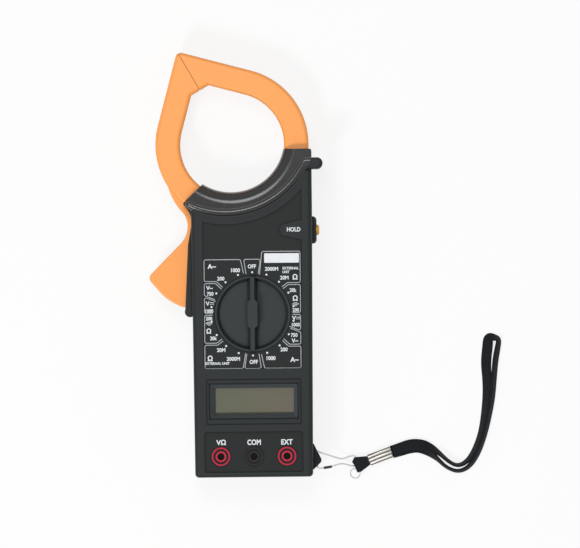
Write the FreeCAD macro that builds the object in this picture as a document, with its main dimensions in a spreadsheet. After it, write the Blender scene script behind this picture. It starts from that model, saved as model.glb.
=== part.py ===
import FreeCAD, Part
import math
import os
import re
import Sketcher
from types import SimpleNamespace
from FreeCAD import Placement, Rotation, Vector

# Clamp meter with a wrist strap, lying on its back.
# Millimetres. The origin is on the back face, under the selector's axis.
# +Y runs towards the jaw's tip, +Z out of the front face, +X to the HOLD button's side.
# Angles are in degrees from +X, counter-clockwise seen from the front.

SIZES = {
    # case
    "half_width_foot": 33.0, "half_width_shoulder": 33.9, "shoulder_line": 56.0,
    "shoulder_rounding": 9.0, "foot_reach": 91.5, "foot_rounding": 2.2, "parting": 15.0, "case_rim": 34.0,
    "case_wall": 2.2, "back_wall": 2.2, "rim_rounding": 2.6, "back_rounding": 2.0,
    # panel faces
    "panel_sink": 0.8, "panel_skin": 2.0, "panel_half_width": 27.7, "panel_foot": 30.8,
    "panel_margin": 4.7, "panel_rounding": 2.0,
    # jaw ring, about its own centre
    "jaw_inset": 1.5, "jaw_y": 95.0, "jaw_outer": 43.0, "jaw_inner": 29.2, "jaw_lean": 120.0,
    "jaw_flat": 35.6, "jaw_tip_rounding": 3.0, "jaw_thickness": 16.0, "jaw_wall": 2.6,
    "jaw_cap": 2.2, "jaw_rounding": 2.2, "jaw_gap": 0.3, "jaw_split": 246.0,
    "neck_step": 1.6, "neck_cap": 1.2, "neck_end": -18.0, "neck_clearance": 0.5,
    "core_clearance": 0.2, "arm_step": 1.2,
    # collar that holds the jaw, and the hand guard rib
    "collar_shift_x": -0.6, "collar_shift_y": 3.3, "collar_bore": 29.9,
    "collar_mouth": 92.3, "collar_end": -122.4, "toe_proud": 4.7, "toe_line": 62.1,
    "collar_top": 27.5, "collar_back": 2.6, "collar_skin": 1.2, "collar_rounding": 6.5,
    "mouth_wall": 2.0, "seam_width": 0.4, "seam_inset": 3.8,
    "guard_foot": 56.9, "guard_radius": 48.9, "guard_inset": 3.03, "guard_overhang": 1.1,
    "guard_width": 4.0, "guard_top": 37.0, "nub_line": 84.1, "nub_width": 6.4,
    "nub_proud": 6.2, "nub_sweep": 4.0,
    # side slot of the trigger, and its lips
    "slot_clearance": 0.4, "slot_foot": 2.2, "lip_thickness": 3.0,
    # pivot of the moving jaw
    "pivot_inset": 5.9, "pivot_y": 50.0, "pin_radius": 2.0, "pin_clearance": 0.05,
    "pivot_boss": 4.5, "hub_radius": 6.4,
    # coil on the fixed core
    "coil_start": -20.0, "coil_margin": 19.0, "saddle_margin": 6.0, "saddle_pitch": 9.0,
    "saddle_width": 2.5, "bobbin_wall": 0.8, "flange_height": 2.2,
    "flange_thickness": 1.5, "winding_height": 1.9,
    # display
    "window_x": 0.2, "window_y": -48.9, "window_width": 44.9, "window_height": 15.0,
    "bezel_width": 53.5, "bezel_height": 25.7, "bezel_groove": 0.7, "groove_depth": 0.5,
    "lens_thickness": 1.0, "lens_margin": 1.6, "glass_thickness": 2.0,
    # jack face and jacks
    "jack_face_setback": 2.7, "jack_face_height": 22.9, "jack_setback": 11.7,
    "jack_inset": 14.5,
    "jack_radius": 5.2, "jack_groove": 4.3, "jack_collar": 3.05, "jack_bore": 2.0, "jack_lip": 1.2,
    "sleeve_wall": 0.65, "sleeve_foot": 12.5, "jack_depth": 19.0,
    # selector
    "knob_radius": 21.2, "knob_clearance": 0.3, "knob_rim": 1.1, "knob_face": 33.6,
    "knob_floor": 30.2, "knob_back": 27.6, "knob_flange": 22.8, "ridge_top": 36.9,
    "ridge_width": 5.9, "ridge_end": 2.5, "ridge_grip": 16.5, "detent_crest": 24.0,
    "detent_wall": 1.8, "detent_depth": 0.5, "detent_count": 18, "ball_radius": 1.25,
    "rotor_radius": 20.0, "rotor_thickness": 1.3,
    # circuit board
    "board_back": 24.0, "board_thickness": 1.6, "board_gap": 0.05,
    # HOLD button
    "hold_line": 46.7, "hold_level": 20.5, "hold_radius": 3.0, "hold_travel": 1.5,
    "hold_collar_proud": 2.5, "hold_collar_length": 15.4,
    "hold_collar_height": 8.6, "hold_clearance": 0.15, "hold_flange": 4.0,
    # battery bay
    "bay_half_width": 26.0, "bay_top": -37.4, "bay_foot": -65.2, "door_overlap": 1.5,
    "door_thickness": 2.0, "door_gap": 0.15, "door_foot": -71.5, "bay_wall": 2.6,
    "door_screw_line": -68.4,
    # screws
    "screw_radius": 1.25, "screw_head": 2.9, "screw_head_height": 2.2, "screw_seat": 7.0,
    "screw_tip": 25.0, "screw_play": 0.05, "boss_radius": 3.2, "screw_inset": 6.0,
    "side_screw_inset": 5.9, "screw_setback": 7.0,
    # strap lug, wire hook and strap
    "lug_top": -73.4, "lug_foot": -87.8, "lug_tip": -83.1, "lug_reach": 38.3,
    "lug_level": 11.6, "lug_thickness": 6.2, "lug_hole": 1.2, "lug_hole_x": 35.6,
    "hook_wire": 0.42, "ring_radius": 2.75, "ring_wire": 0.45, "ring_tilt": 20.0,
    "fold_lift": 0.65, "fold_height": 3.5, "fold_layer": 0.9, "strap_width": 6.2, "strap_thickness": 1.3, "strap_lift": 0.15,
}

doc = FreeCAD.newDocument("ClampMeter")
sheet = doc.addObject("Spreadsheet::Sheet", "Sizes")
for row, (alias, value) in enumerate(SIZES.items(), 1):
    sheet.set("A%d" % row, alias)
    sheet.set("B%d" % row, str(value))
    sheet.setAlias("B%d" % row, alias)
doc.recompute()
v = SimpleNamespace(**SIZES)
NODES = []
JAW = (v.half_width_shoulder - v.jaw_inset - v.jaw_outer, v.jaw_y)
COLLAR = (JAW[0] + v.collar_shift_x, v.jaw_y + v.collar_shift_y)
PIVOT = (v.pivot_inset - v.half_width_shoulder, v.pivot_y)
CORE_END = v.jaw_split - 360
JAW_HALF = v.jaw_thickness / 2
SLOT_HALF = "jaw_thickness / 2 + slot_clearance"
PANEL_INSIDE = "case_rim - panel_sink - panel_skin"
HOLD_COLLAR = v.half_width_shoulder + v.hold_collar_proud
HOLD_TIP = HOLD_COLLAR + v.hold_travel
JACK_LINE = v.jack_setback - v.foot_reach
FOOT_SCREWS = v.screw_setback - v.foot_reach
SIDE_SCREWS = v.half_width_shoulder - v.side_screw_inset
CASE_SCREWS = [(v.screw_inset - v.half_width_foot, FOOT_SCREWS),
               (v.half_width_foot - v.screw_inset, FOOT_SCREWS),
               (SIDE_SCREWS, v.shoulder_line + 2.0), (-SIDE_SCREWS, -8.0)]
BOARD_SCREWS = [(-21.5, -31.4), (21.5, -31.4), (24.0, 36.0)]
JACKS = [v.jack_inset - v.half_width_foot, 0.0, v.half_width_foot - v.jack_inset]


# ---------------------------------------------------------------- drawing aids

def bind(thing, prop, text):
    """Bind one property to a formula of the sheet's names."""
    words = re.sub(r"[a-z][a-z_]+", lambda m: "Sizes." + m.group() if m.group() in SIZES
                   else m.group(), str(text))
    thing.setExpression(prop, words)


def polar(centre, radius, angle):
    turn = math.radians(angle)
    return Vector(centre[0] + radius * math.cos(turn), centre[1] + radius * math.sin(turn), 0)


def angle_at_y(centre, radius, y):
    """Angle, on the right half of a circle, of its point at height y."""
    return math.degrees(math.asin((y - centre[1]) / radius))


def angle_at_x(centre, radius, x):
    """Angle, on the lower half of a circle, of its point at x."""
    return -math.degrees(math.acos((x - centre[0]) / radius))


class Outline:
    """A closed outline made in order from corners, arcs about a centre and bows."""

    def __init__(self):
        self.items = []

    def at(self, x, y, rounding=0.0):
        self.items.append([Vector(x, y, 0), None, Vector(x, y, 0), rounding])
        return self

    def sweep(self, centre, radius, start, end):
        middle = polar(centre, radius, (start + end) / 2)
        self.items.append([polar(centre, radius, start), middle, polar(centre, radius, end), 0])
        return self

    def bow(self, mid_x, mid_y, x, y):
        self.items.append([self.items[-1][2], Vector(mid_x, mid_y, 0), Vector(x, y, 0), 0])
        return self

    def rounded(self):
        """The items, with each rounded corner as its tangent arc."""
        done = []
        for n, (first, middle, last, rounding) in enumerate(self.items):
            if rounding:
                before = (self.items[n - 1][2] - first).normalize()
                after = (self.items[(n + 1) % len(self.items)][0] - first).normalize()
                half = before.getAngle(after) / 2
                inward = (before + after).normalize()
                middle = first + inward * (rounding / math.sin(half) - rounding)
                reach = rounding / math.tan(half)
                done.append((first + before * reach, middle, first + after * reach))
            else:
                done.append((first, middle, last))
        return done

    def curves(self):
        items = self.rounded()
        here = items[-1][2]
        found = []
        for first, middle, last in items:
            if (first - here).Length > 1e-6:
                found.append(Part.LineSegment(here, first))
            if middle is not None:
                found.append(Part.Arc(first, middle, last))
            here = last
        return found


def box_outline(x_low, y_low, x_high, y_high, rounding=0.0):
    shape = Outline().at(x_low, y_low, rounding).at(x_high, y_low, rounding)
    return shape.at(x_high, y_high, rounding).at(x_low, y_high, rounding)


def join_ends(sketch, drawn):
    """Tie each curve's last point to the next one's first; a clockwise arc is kept reversed."""
    ends = []
    for number, start in drawn:
        forward = (sketch.getPoint(number, 1) - start).Length < 1e-6
        ends.append((number, 1, 2) if forward else (number, 2, 1))
    for (number, _, last), (follower, first, _) in zip(ends, ends[1:] + ends[:1]):
        sketch.addConstraint(Sketcher.Constraint("Coincident", number, last, follower, first))


def draw(body, name, level, outlines=(), circles=(), plane="XY_Plane"):
    """A sketch on one of the body's own planes, raised by a formula."""
    sketch = body.newObject("Sketcher::SketchObject", body.Label + "_" + name)
    face = [f for f in body.Origin.OriginFeatures if f.Role == plane][0]
    sketch.AttachmentSupport = (face, [""])
    sketch.MapMode = "FlatFace"
    bind(sketch, "AttachmentOffset.Base.z", level)
    for outline in outlines:
        join_ends(sketch, [(sketch.addGeometry(curve, False), curve.StartPoint)
                           for curve in outline.curves()])
    for x, y, radius in circles:
        size = SIZES[radius] if radius in SIZES else float(radius)
        number = sketch.addGeometry(Part.Circle(Vector(x, y, 0), Vector(0, 0, 1), size), False)
        if radius in SIZES:
            tie = sketch.addConstraint(Sketcher.Constraint("Radius", number, size))
            bind(sketch, "Constraints[%d]" % tie, radius)
    return sketch


def new_body(label):
    body = doc.addObject("PartDesign::Body", label)
    body.Label = label
    NODES.append(body)
    return body


def feature(body, kind, sketch, length, downward=False, taper=0.0):
    """Pad or pocket a sketch by a formula, and see that it changed the solid."""
    before = body.Shape.Volume if body.Tip else 0.0
    name = sketch.Label.replace(body.Label, body.Label + "_" + kind.lower())
    made = body.newObject("PartDesign::" + kind, name)
    made.Profile = sketch
    bind(made, "Length", length)
    made.Reversed = downward if kind == "Pad" else not downward
    if taper:
        made.TaperAngle = taper
    doc.recompute()
    gain = body.Shape.Volume - before
    if (gain <= 0) == (kind == "Pad"):
        raise RuntimeError(name + " leaves the solid as it was")
    return made


def pad(body, name, level, length, outlines=(), circles=(), plane="XY_Plane", downward=False):
    return feature(body, "Pad", draw(body, name, level, outlines, circles, plane), length,
                   downward)


def pocket(body, name, level, length, outlines=(), circles=(), plane="XY_Plane",
           downward=False, taper=0.0):
    return feature(body, "Pocket", draw(body, name, level, outlines, circles, plane), length,
                   downward, taper)


def soften(body, name, radius, pick, kind="Fillet"):
    """Round or bevel the edges of the body's last feature that pick chooses."""
    base = body.Tip
    edges = ["Edge%d" % n for n, edge in enumerate(base.Shape.Edges, 1) if pick(edge)]
    if not edges:
        raise RuntimeError(body.Label + "_" + name + " finds no edge")
    made = body.newObject("PartDesign::" + kind, body.Label + "_" + name)
    made.Base = (base, edges)
    bind(made, "Radius" if kind == "Fillet" else "Size", radius)
    doc.recompute()
    if "Invalid" in made.State or made.Shape.isNull():
        raise RuntimeError(made.Label + " fails on %d edges" % len(edges))
    return made


def lies_at(edge, level):
    box = edge.BoundBox
    return abs(box.ZMin - level) < 0.01 and abs(box.ZMax - level) < 0.01


def cylinder(label, radius, height, x, y, z, direction=Vector(0, 0, 1)):
    made = doc.addObject("Part::Cylinder", label)
    bind(made, "Radius", radius)
    bind(made, "Height", height)
    made.Placement = Placement(Vector(x, y, z), Rotation(Vector(0, 0, 1), direction))
    return made


def block(label, length, width, height, x, y, z):
    made = doc.addObject("Part::Box", label)
    for prop, text in zip(("Length", "Width", "Height"), (length, width, height)):
        bind(made, prop, text)
    made.Placement = Placement(Vector(x, y, z), Rotation())
    return made


def fuse(label, parts):
    made = doc.addObject("Part::MultiFuse", label)
    made.Shapes = parts
    return made


def cut(label, base, tool):
    made = doc.addObject("Part::Cut", label)
    made.Base = base
    made.Tool = tool
    return made


def group(label, parts):
    """One node made of separate solids."""
    made = doc.addObject("Part::Compound", label)
    made.Links = parts
    return keep(made, label)


def keep(thing, label):
    thing.Label = label
    NODES.append(thing)
    return thing


def shaped(label, shape):
    made = doc.addObject("Part::Feature", label)
    made.Shape = shape
    return keep(made, label)


# ---------------------------------------------------------------- shared outlines

def guard_circle():
    """Centre of the guard's arc, through its lowest line and the nub's top, and its end."""
    radius = v.guard_radius
    y = v.guard_foot + radius
    rise = y - v.nub_line - v.nub_width / 2
    x = v.half_width_shoulder - v.guard_inset - math.sqrt(radius ** 2 - rise ** 2)
    return (x, y), angle_at_x((x, y), radius, -v.half_width_shoulder - v.guard_overhang)


GUARD, GUARD_END = guard_circle()


def case_plan(top):
    """Foot and sides of the case; top adds the far end."""
    plan = Outline().at(-v.half_width_foot, -v.foot_reach, v.foot_rounding)
    plan.at(v.half_width_foot, -v.foot_reach, v.foot_rounding)
    plan.at(v.half_width_shoulder, v.shoulder_line)
    top(plan)
    return plan.at(-v.half_width_shoulder, v.shoulder_line, v.shoulder_rounding)


def collar_end(plan):
    plan.at(v.half_width_shoulder, v.collar_mouth, 1.2)
    plan.sweep(COLLAR, v.collar_bore, angle_at_y(COLLAR, v.collar_bore, v.collar_mouth),
               v.collar_end)
    plan.at(-v.half_width_shoulder - v.toe_proud, v.toe_line, 1.0)


def guard_line(plan):
    level = v.nub_line + v.nub_width / 2
    plan.at(v.half_width_shoulder, level)
    plan.sweep(GUARD, v.guard_radius, angle_at_y(GUARD, v.guard_radius, level), GUARD_END)


def nub_blend(ring, level):
    """Ends, middle and angle of the arc that eases a level line into the guard's ring."""
    ease = v.nub_sweep
    hub = Vector(*GUARD, 0)
    x = hub.x + math.sqrt((ring + ease) ** 2 - (level - ease - hub.y) ** 2)
    centre = Vector(x, level - ease, 0)
    on_line = Vector(x, level, 0)
    on_ring = hub + (centre - hub) * (ring / (ring + ease))
    middle = centre + ((on_line - centre) + (on_ring - centre)).normalize() * ease
    angle = math.degrees(math.atan2(on_ring.y - hub.y, on_ring.x - hub.x))
    return on_line, middle, on_ring, angle


def guard_outline():
    """The hand guard: a band round the jaw's end of the case, sweeping into a nub."""
    inner = v.guard_radius - v.guard_width / 2
    outer = v.guard_radius + v.guard_width / 2
    high = v.nub_line + v.nub_width / 2
    low = v.nub_line - v.nub_width / 2
    corner = v.nub_width / 2 - 0.02
    tip = v.half_width_shoulder + v.nub_proud
    line, middle, ring, angle = nub_blend(inner, high)
    plan = Outline().at(tip, low, corner).at(tip, high, corner).at(line.x, line.y)
    plan.bow(middle.x, middle.y, ring.x, ring.y).sweep(GUARD, inner, angle, GUARD_END)
    heel = polar(GUARD, v.guard_radius, GUARD_END)
    along = math.radians(GUARD_END)
    end = polar(GUARD, outer, GUARD_END)
    plan.bow(heel.x + v.guard_width / 2 * math.sin(along),
             heel.y - v.guard_width / 2 * math.cos(along), end.x, end.y)
    line, middle, ring, angle = nub_blend(outer, low)
    plan.sweep(GUARD, outer, GUARD_END, angle)
    return plan.bow(middle.x, middle.y, line.x, line.y)


def nub_outline():
    high = v.nub_line + v.nub_width / 2
    low = v.nub_line - v.nub_width / 2
    corner = v.nub_width / 2 - 0.02
    tip = v.half_width_shoulder + v.nub_proud
    plan = Outline().at(v.half_width_shoulder - 2, low).at(tip, low, corner)
    return plan.at(tip, high, corner).at(v.half_width_shoulder - 2, high)


def main_cavity():
    """The room inside the case, below the hand guard."""
    side = v.half_width_shoulder - v.case_wall
    foot = v.half_width_foot - v.case_wall
    radius = v.guard_radius + v.guard_width / 2
    plan = Outline().at(-foot, v.case_wall - v.foot_reach, 0.8)
    plan.at(foot, v.case_wall - v.foot_reach, 0.8).at(side, v.shoulder_line)
    plan.sweep(GUARD, radius, angle_at_x(GUARD, radius, side),
               angle_at_x(GUARD, radius, -side))
    return plan.at(-side, v.shoulder_line - 4)


def jaw_cavity():
    """Room for the jaw's roots and the coil, open at the left where the trigger swings."""
    side = v.half_width_shoulder - v.case_wall
    outside = -v.half_width_shoulder - v.toe_proud - 8
    radius = v.collar_bore + v.collar_skin
    mouth = v.collar_mouth - v.mouth_wall
    plan = Outline().at(outside, v.slot_foot).at(PIVOT[0] + 3, v.slot_foot)
    plan.at(PIVOT[0] + 3, v.shoulder_line - 4).at(side, v.shoulder_line).at(side, mouth)
    plan.sweep(COLLAR, radius, angle_at_y(COLLAR, radius, mouth), v.collar_end + 2)
    return plan.at(outside, v.toe_line + 16)


def lip_outline():
    """The flared lip over and under the slot."""
    wall = -v.half_width_shoulder
    inside = wall + 2.5
    foot = v.slot_foot - 3.2
    plan = Outline().at(inside, v.shoulder_line - 6).at(inside, foot)
    plan.at(wall + 0.6, foot).bow(wall - 3.3, foot + 0.4, wall - 3.8, foot + 3.8)
    return plan.at(wall - 1.9, foot + 40).at(wall + 0.1, v.shoulder_line - 6)


def ring_half(inset, side, end, rounding):
    """Half of the jaw's teardrop ring, from its tip to the angle end.

    inset narrows it from both edges; side is 1 for the moving half, -1 for the fixed one.
    """
    outer = v.jaw_outer - inset
    inner = v.jaw_inner + inset
    half_gap = v.jaw_gap / 2
    lean = math.radians(v.jaw_lean)
    slope = math.sin(math.radians(45))

    def local(along, across):
        across *= side
        return (JAW[0] + along * math.cos(lean) - across * math.sin(lean),
                v.jaw_y + along * math.sin(lean) + across * math.cos(lean))

    flat = v.jaw_flat + inset
    plan = Outline()
    apex = outer / slope
    if rounding:
        hub = apex - rounding / slope
        top = hub + math.sqrt(rounding ** 2 - half_gap ** 2)
        turn = math.radians(20)
        plan.at(*local(top, half_gap))
        plan.bow(*local(hub + rounding * math.cos(turn), rounding * math.sin(turn)),
                 *local(hub + rounding * slope, rounding * slope))
    else:
        plan.at(*local(apex - half_gap, half_gap))
    plan.sweep(JAW, outer, v.jaw_lean + side * 45, end[0])
    plan.sweep(JAW, inner, end[1], v.jaw_lean + side * 45)
    reach = inner / slope - flat
    plan.at(*local(flat, reach))
    return plan.at(*local(flat, half_gap))


# ---------------------------------------------------------------- case

def on_sides(edge):
    """Whether an edge of the case's outline lies on its foot or its long sides."""
    side = min(v.half_width_foot, v.half_width_shoulder) - 2.5
    return edge.BoundBox.YMin < v.shoulder_line + 4 and (
        abs(edge.CenterOfMass.x) > side or edge.CenterOfMass.y < 6.5 - v.foot_reach)


def cut_mouth(body, downward=False):
    """The collar's mouth, round the fixed jaw's neck."""
    low = JAW[0] + v.jaw_inner + v.neck_step - v.neck_clearance
    high = JAW[0] + v.jaw_outer - v.neck_step + v.neck_clearance
    pocket(body, "mouth", "parting", "jaw_thickness / 2 - neck_cap + 0.2",
           [box_outline(low, v.collar_mouth - 6, high, v.collar_mouth + 1)],
           downward=downward)


def cut_seam(body):
    """The shallow line between the collar's tube and the case's side wall."""
    line = v.half_width_shoulder - v.seam_inset
    seam = box_outline(line, v.nub_line + v.nub_width / 2 + 0.4, line + v.seam_width,
                       v.collar_mouth + 1)
    pocket(body, "seam", "collar_top", "seam_width", [seam], downward=True)


def front_case():
    body = new_body("front_case")
    pad(body, "collar", "parting", "collar_top - parting", [case_plan(collar_end)])
    pad(body, "deck", "collar_top", "case_rim - collar_top", [case_plan(guard_line)])
    pad(body, "guard", "collar_top - 1", "guard_top - collar_top + 1", [guard_outline()])
    pad(body, "nub", "parting", "collar_top - parting - 0.5", [nub_outline()])
    hold_collar = Outline().at(v.hold_line - v.hold_collar_length / 2,
                               v.hold_level - v.hold_collar_height / 2, 4.2)
    hold_collar.at(v.hold_line + v.hold_collar_length / 2,
                   v.hold_level - v.hold_collar_height / 2, 4.2)
    hold_collar.at(v.hold_line + v.hold_collar_length / 2,
                   v.hold_level + v.hold_collar_height / 2, 4.2)
    hold_collar.at(v.hold_line - v.hold_collar_length / 2,
                   v.hold_level + v.hold_collar_height / 2, 4.2)
    pad(body, "hold_collar", "half_width_shoulder - 1.5", "hold_collar_proud + 1.5",
        [hold_collar], plane="YZ_Plane")
    soften(body, "hold_soft", "hold_collar_proud - 0.3",
           lambda e: abs(e.BoundBox.XMin - HOLD_COLLAR) < 0.01)
    soften(body, "guard_soft", "guard_width / 2 - 0.15", lambda e: lies_at(e, v.guard_top))
    soften(body, "rim_soft", "rim_rounding", lambda e: lies_at(e, v.case_rim) and on_sides(e))
    soften(body, "collar_soft", "collar_rounding",
           lambda e: lies_at(e, v.collar_top) and e.CenterOfMass.Length > 70
           and abs((e.CenterOfMass - Vector(*COLLAR, v.collar_top)).Length) < 30)
    pad(body, "lip", "parting + " + SLOT_HALF, "lip_thickness", [lip_outline()])
    pocket(body, "cavity", "parting", PANEL_INSIDE + " - parting", [main_cavity()])
    pocket(body, "jaw_room", "parting", SLOT_HALF, [jaw_cavity()])
    cut_mouth(body)
    cut_seam(body)
    sink_panels(body)
    cut_openings(body)
    add_front_bosses(body)
    add_detent_ring(body)
    return body


def sink_panels(body):
    """The dial panel, with the HOLD tongue left standing, and the jack face."""
    side = v.panel_half_width
    top = v.guard_radius + v.guard_width / 2 + v.panel_margin
    panel = Outline().at(-side, -v.panel_foot, v.panel_rounding)
    edge = side + 0.4
    tongue = v.hold_line
    panel.at(side, -v.panel_foot, v.panel_rounding).at(edge, tongue - 5.4)
    panel.bow(side - 3.7, tongue - 4.5, side - 7.9, tongue - 3.3)
    panel.bow(side - 11.9, tongue + 0.2, side - 7.9, tongue + 3.6)
    panel.bow(side - 3.7, tongue + 4.8, edge, tongue + 5.7)
    panel.sweep(GUARD, top, angle_at_x(GUARD, top, edge), angle_at_x(GUARD, top, -side))
    foot = v.jack_face_setback - v.foot_reach
    face = box_outline(-side, foot, side, foot + v.jack_face_height, 1.6)
    pocket(body, "panels", "case_rim", "panel_sink", [panel, face], downward=True)


def cut_openings(body):
    """Dial hole, display window with its sloping bezel, jack holes and button hole."""
    pocket(body, "dial_hole", "case_rim", "case_rim", circles=[(0, 0, v.knob_radius
           + v.knob_clearance)], downward=True)
    half_x = v.bezel_width / 2
    half_y = v.bezel_height / 2
    groove = v.bezel_groove
    outer = box_outline(v.window_x - half_x, v.window_y - half_y - 0.3, v.window_x + half_x,
                        v.window_y + half_y - 0.3, 1.0)
    inner = box_outline(v.window_x - half_x + groove, v.window_y - half_y - 0.3 + groove,
                        v.window_x + half_x - groove, v.window_y + half_y - 0.3 - groove, 0.6)
    pocket(body, "bezel_groove", "case_rim", "groove_depth", [outer, inner], downward=True)
    depth = v.panel_sink + v.panel_skin
    window = box_outline(v.window_x - v.window_width / 2 - depth,
                         v.window_y - v.window_height / 2 - depth,
                         v.window_x + v.window_width / 2 + depth,
                         v.window_y + v.window_height / 2 + depth)
    pocket(body, "window", "case_rim", "panel_sink + panel_skin + 0.01", [window],
           downward=True, taper=-45)
    hole = v.jack_radius + 0.05
    pocket(body, "jack_holes", "case_rim", "case_rim", circles=[(x, JACK_LINE, hole)
           for x in JACKS], downward=True)
    pocket(body, "hold_hole", "half_width_shoulder + hold_collar_proud + 1", "10", circles=[(v.hold_line, v.hold_level,
           v.hold_radius + v.hold_clearance)], plane="YZ_Plane", downward=True)


def add_front_bosses(body):
    ceiling = v.case_rim - v.panel_sink - v.panel_skin
    pad(body, "bosses", PANEL_INSIDE + " + 0.2", PANEL_INSIDE + " + 0.2 - parting",
        circles=[(x, y, "boss_radius") for x, y in CASE_SCREWS], downward=True)
    pocket(body, "pilots", "parting", "screw_tip - parting + 1",
           circles=[(x, y, v.screw_radius + v.screw_play) for x, y in CASE_SCREWS])
    pad(body, "pivot_boss", PANEL_INSIDE + " + 0.2",
        PANEL_INSIDE + " + 0.2 - parting - jaw_thickness / 2 - 0.3",
        circles=[(*PIVOT, "pivot_boss")], downward=True)
    pocket(body, "pivot_hole", "parting", "14.8",
           circles=[(*PIVOT, v.pin_radius + v.pin_clearance)])
    pad(body, "board_bosses", PANEL_INSIDE + " + 0.2",
        PANEL_INSIDE + " + 0.2 - board_back - board_thickness - board_gap",
        circles=[(x, y, 2.5) for x, y in BOARD_SCREWS], downward=True)
    pocket(body, "board_pilots", "board_back", "%s" % (ceiling - v.board_back - 0.8),
           circles=[(x, y, 1.0) for x, y in BOARD_SCREWS])


def add_detent_ring(body):
    """A wall round the knob's flange, with a notch for every switch position."""
    crest = v.detent_crest
    ring = pad(body, "detent_ring", PANEL_INSIDE + " + 0.2",
               PANEL_INSIDE + " + 0.2 - knob_back + 0.8",
               circles=[(0, 0, crest + v.detent_wall), (0, 0, "detent_crest")], downward=True)
    notch = pocket(body, "detent_notch", "knob_back - 1", PANEL_INSIDE + " - knob_back + 1",
                   circles=[(0, crest + v.detent_depth - 1.3, 1.3)])
    pattern = body.newObject("PartDesign::PolarPattern", body.Label + "_detents")
    pattern.Originals = [notch]
    pattern.Axis = (notch.Profile[0], ["N_Axis"])
    pattern.Angle = 360
    bind(pattern, "Occurrences", "detent_count")
    body.Tip = pattern
    doc.recompute()
    return ring


def rear_case():
    body = new_body("rear_case")
    pad(body, "shell", "0", "parting", [case_plan(guard_line)])
    pad(body, "collar", "collar_back", "parting - collar_back", [case_plan(collar_end)])
    pad(body, "nub", "collar_back", "parting - collar_back", [nub_outline()])
    soften(body, "back_soft", "back_rounding", lambda e: lies_at(e, 0) and on_sides(e))
    soften(body, "collar_soft", "collar_rounding",
           lambda e: lies_at(e, v.collar_back)
           and (e.CenterOfMass - Vector(*COLLAR, v.collar_back)).Length < 30)
    pad(body, "lip", "parting - " + SLOT_HALF, "lip_thickness", [lip_outline()], downward=True)
    pocket(body, "cavity", "parting", "parting - back_wall", [main_cavity()], downward=True)
    pocket(body, "jaw_room", "parting", SLOT_HALF, [jaw_cavity()], downward=True)
    cut_mouth(body, downward=True)
    add_battery_bay(body)
    pad(body, "bosses", "back_wall - 0.2", "parting - back_wall + 0.2",
        circles=[(x, y, v.screw_head + 1.4) for x, y in CASE_SCREWS])
    pocket(body, "screw_holes", "0", "parting",
           circles=[(x, y, v.screw_radius + 0.3) for x, y in CASE_SCREWS])
    pocket(body, "screw_sinks", "0", "screw_seat",
           circles=[(x, y, v.screw_head + 0.3) for x, y in CASE_SCREWS])
    pad(body, "pivot_boss", "back_wall - 0.2",
        "parting - jaw_thickness / 2 - 0.3 - back_wall + 0.2", circles=[(*PIVOT, "pivot_boss")])
    pocket(body, "pivot_hole", "back_wall + 0.6", "10",
           circles=[(*PIVOT, v.pin_radius + v.pin_clearance)])
    add_saddles(body)
    add_lug(body)
    return body


def add_battery_bay(body):
    inner_x = v.bay_half_width
    outer_x = inner_x + v.bay_wall
    inner = box_outline(-inner_x, v.bay_foot, inner_x, v.bay_top)
    outer = box_outline(-outer_x, v.bay_foot - v.bay_wall, outer_x, v.bay_top + v.bay_wall)
    pad(body, "bay", "door_thickness + 0.1", "parting - door_thickness - 0.1", [outer, inner])
    shelf = box_outline(-outer_x, v.door_foot - 1.5, outer_x, v.bay_foot)
    pad(body, "shelf", "door_thickness + 0.1", "3", [shelf])
    gap = v.door_gap
    door = box_outline(-inner_x - v.door_overlap - gap, v.door_foot - gap,
                       inner_x + v.door_overlap + gap, v.bay_top + v.door_overlap + gap, 1.2)
    pocket(body, "door_seat", "0", "door_thickness + 0.1", [door])
    pocket(body, "bay_room", "0", "parting", [inner])
    pocket(body, "door_pilot", "0", "door_thickness + 3.1",
           circles=[(0, v.door_screw_line, v.screw_radius + v.screw_play)])


def add_saddles(body):
    """Two ribs that carry the fixed core's bare end."""
    core_low = v.jaw_inner + v.jaw_wall + v.core_clearance
    core_high = v.jaw_outer - v.jaw_wall - v.core_clearance
    lift = "parting - jaw_thickness / 2 + jaw_cap + core_clearance"
    for number in range(2):
        angle = CORE_END + v.saddle_margin + v.saddle_pitch * number
        rib = Outline().sweep(JAW, core_low + 1, angle, angle - v.saddle_width)
        rib.sweep(JAW, core_high - 1, angle - v.saddle_width, angle)
        pad(body, "saddle_%d" % number, "collar_back + 2", lift + " - collar_back - 2 - 0.02",
            [rib])


def add_lug(body):
    """The strap's ear on the right wall, with a hole along it."""
    ear = Outline().at(v.half_width_foot - 1.5, v.lug_top).at(v.half_width_foot + 0.5, v.lug_top)
    ear.at(v.lug_reach, v.lug_tip, 2.2).at(v.half_width_foot + 0.5, v.lug_foot)
    ear.at(v.half_width_foot - 1.5, v.lug_foot)
    pad(body, "lug", "lug_level - lug_thickness / 2", "lug_thickness", [ear])
    pocket(body, "lug_hole", "foot_reach", "foot_reach + lug_top + 1",
           circles=[(v.lug_hole_x, v.lug_level, "lug_hole")], plane="XZ_Plane", downward=True)


def battery_door():
    body = new_body("battery_door")
    reach = v.bay_half_width + v.door_overlap
    plate = box_outline(-reach, v.door_foot, reach, v.bay_top + v.door_overlap, 1.0)
    pad(body, "plate", "0", "door_thickness", [plate])
    soften(body, "edge", "0.5", lambda e: lies_at(e, 0))
    grips = [box_outline(-9, v.bay_top - 6.2 - 2.6 * n, 9, v.bay_top - 5 - 2.6 * n)
             for n in range(5)]
    pocket(body, "grip", "0", "0.6", grips)
    pocket(body, "screw_hole", "0", "door_thickness",
           circles=[(0, v.door_screw_line, v.screw_radius + 0.2)])
    pocket(body, "screw_sink", "0", "0.9",
           circles=[(0, v.door_screw_line, v.screw_head + 0.2)])
    return body


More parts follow.
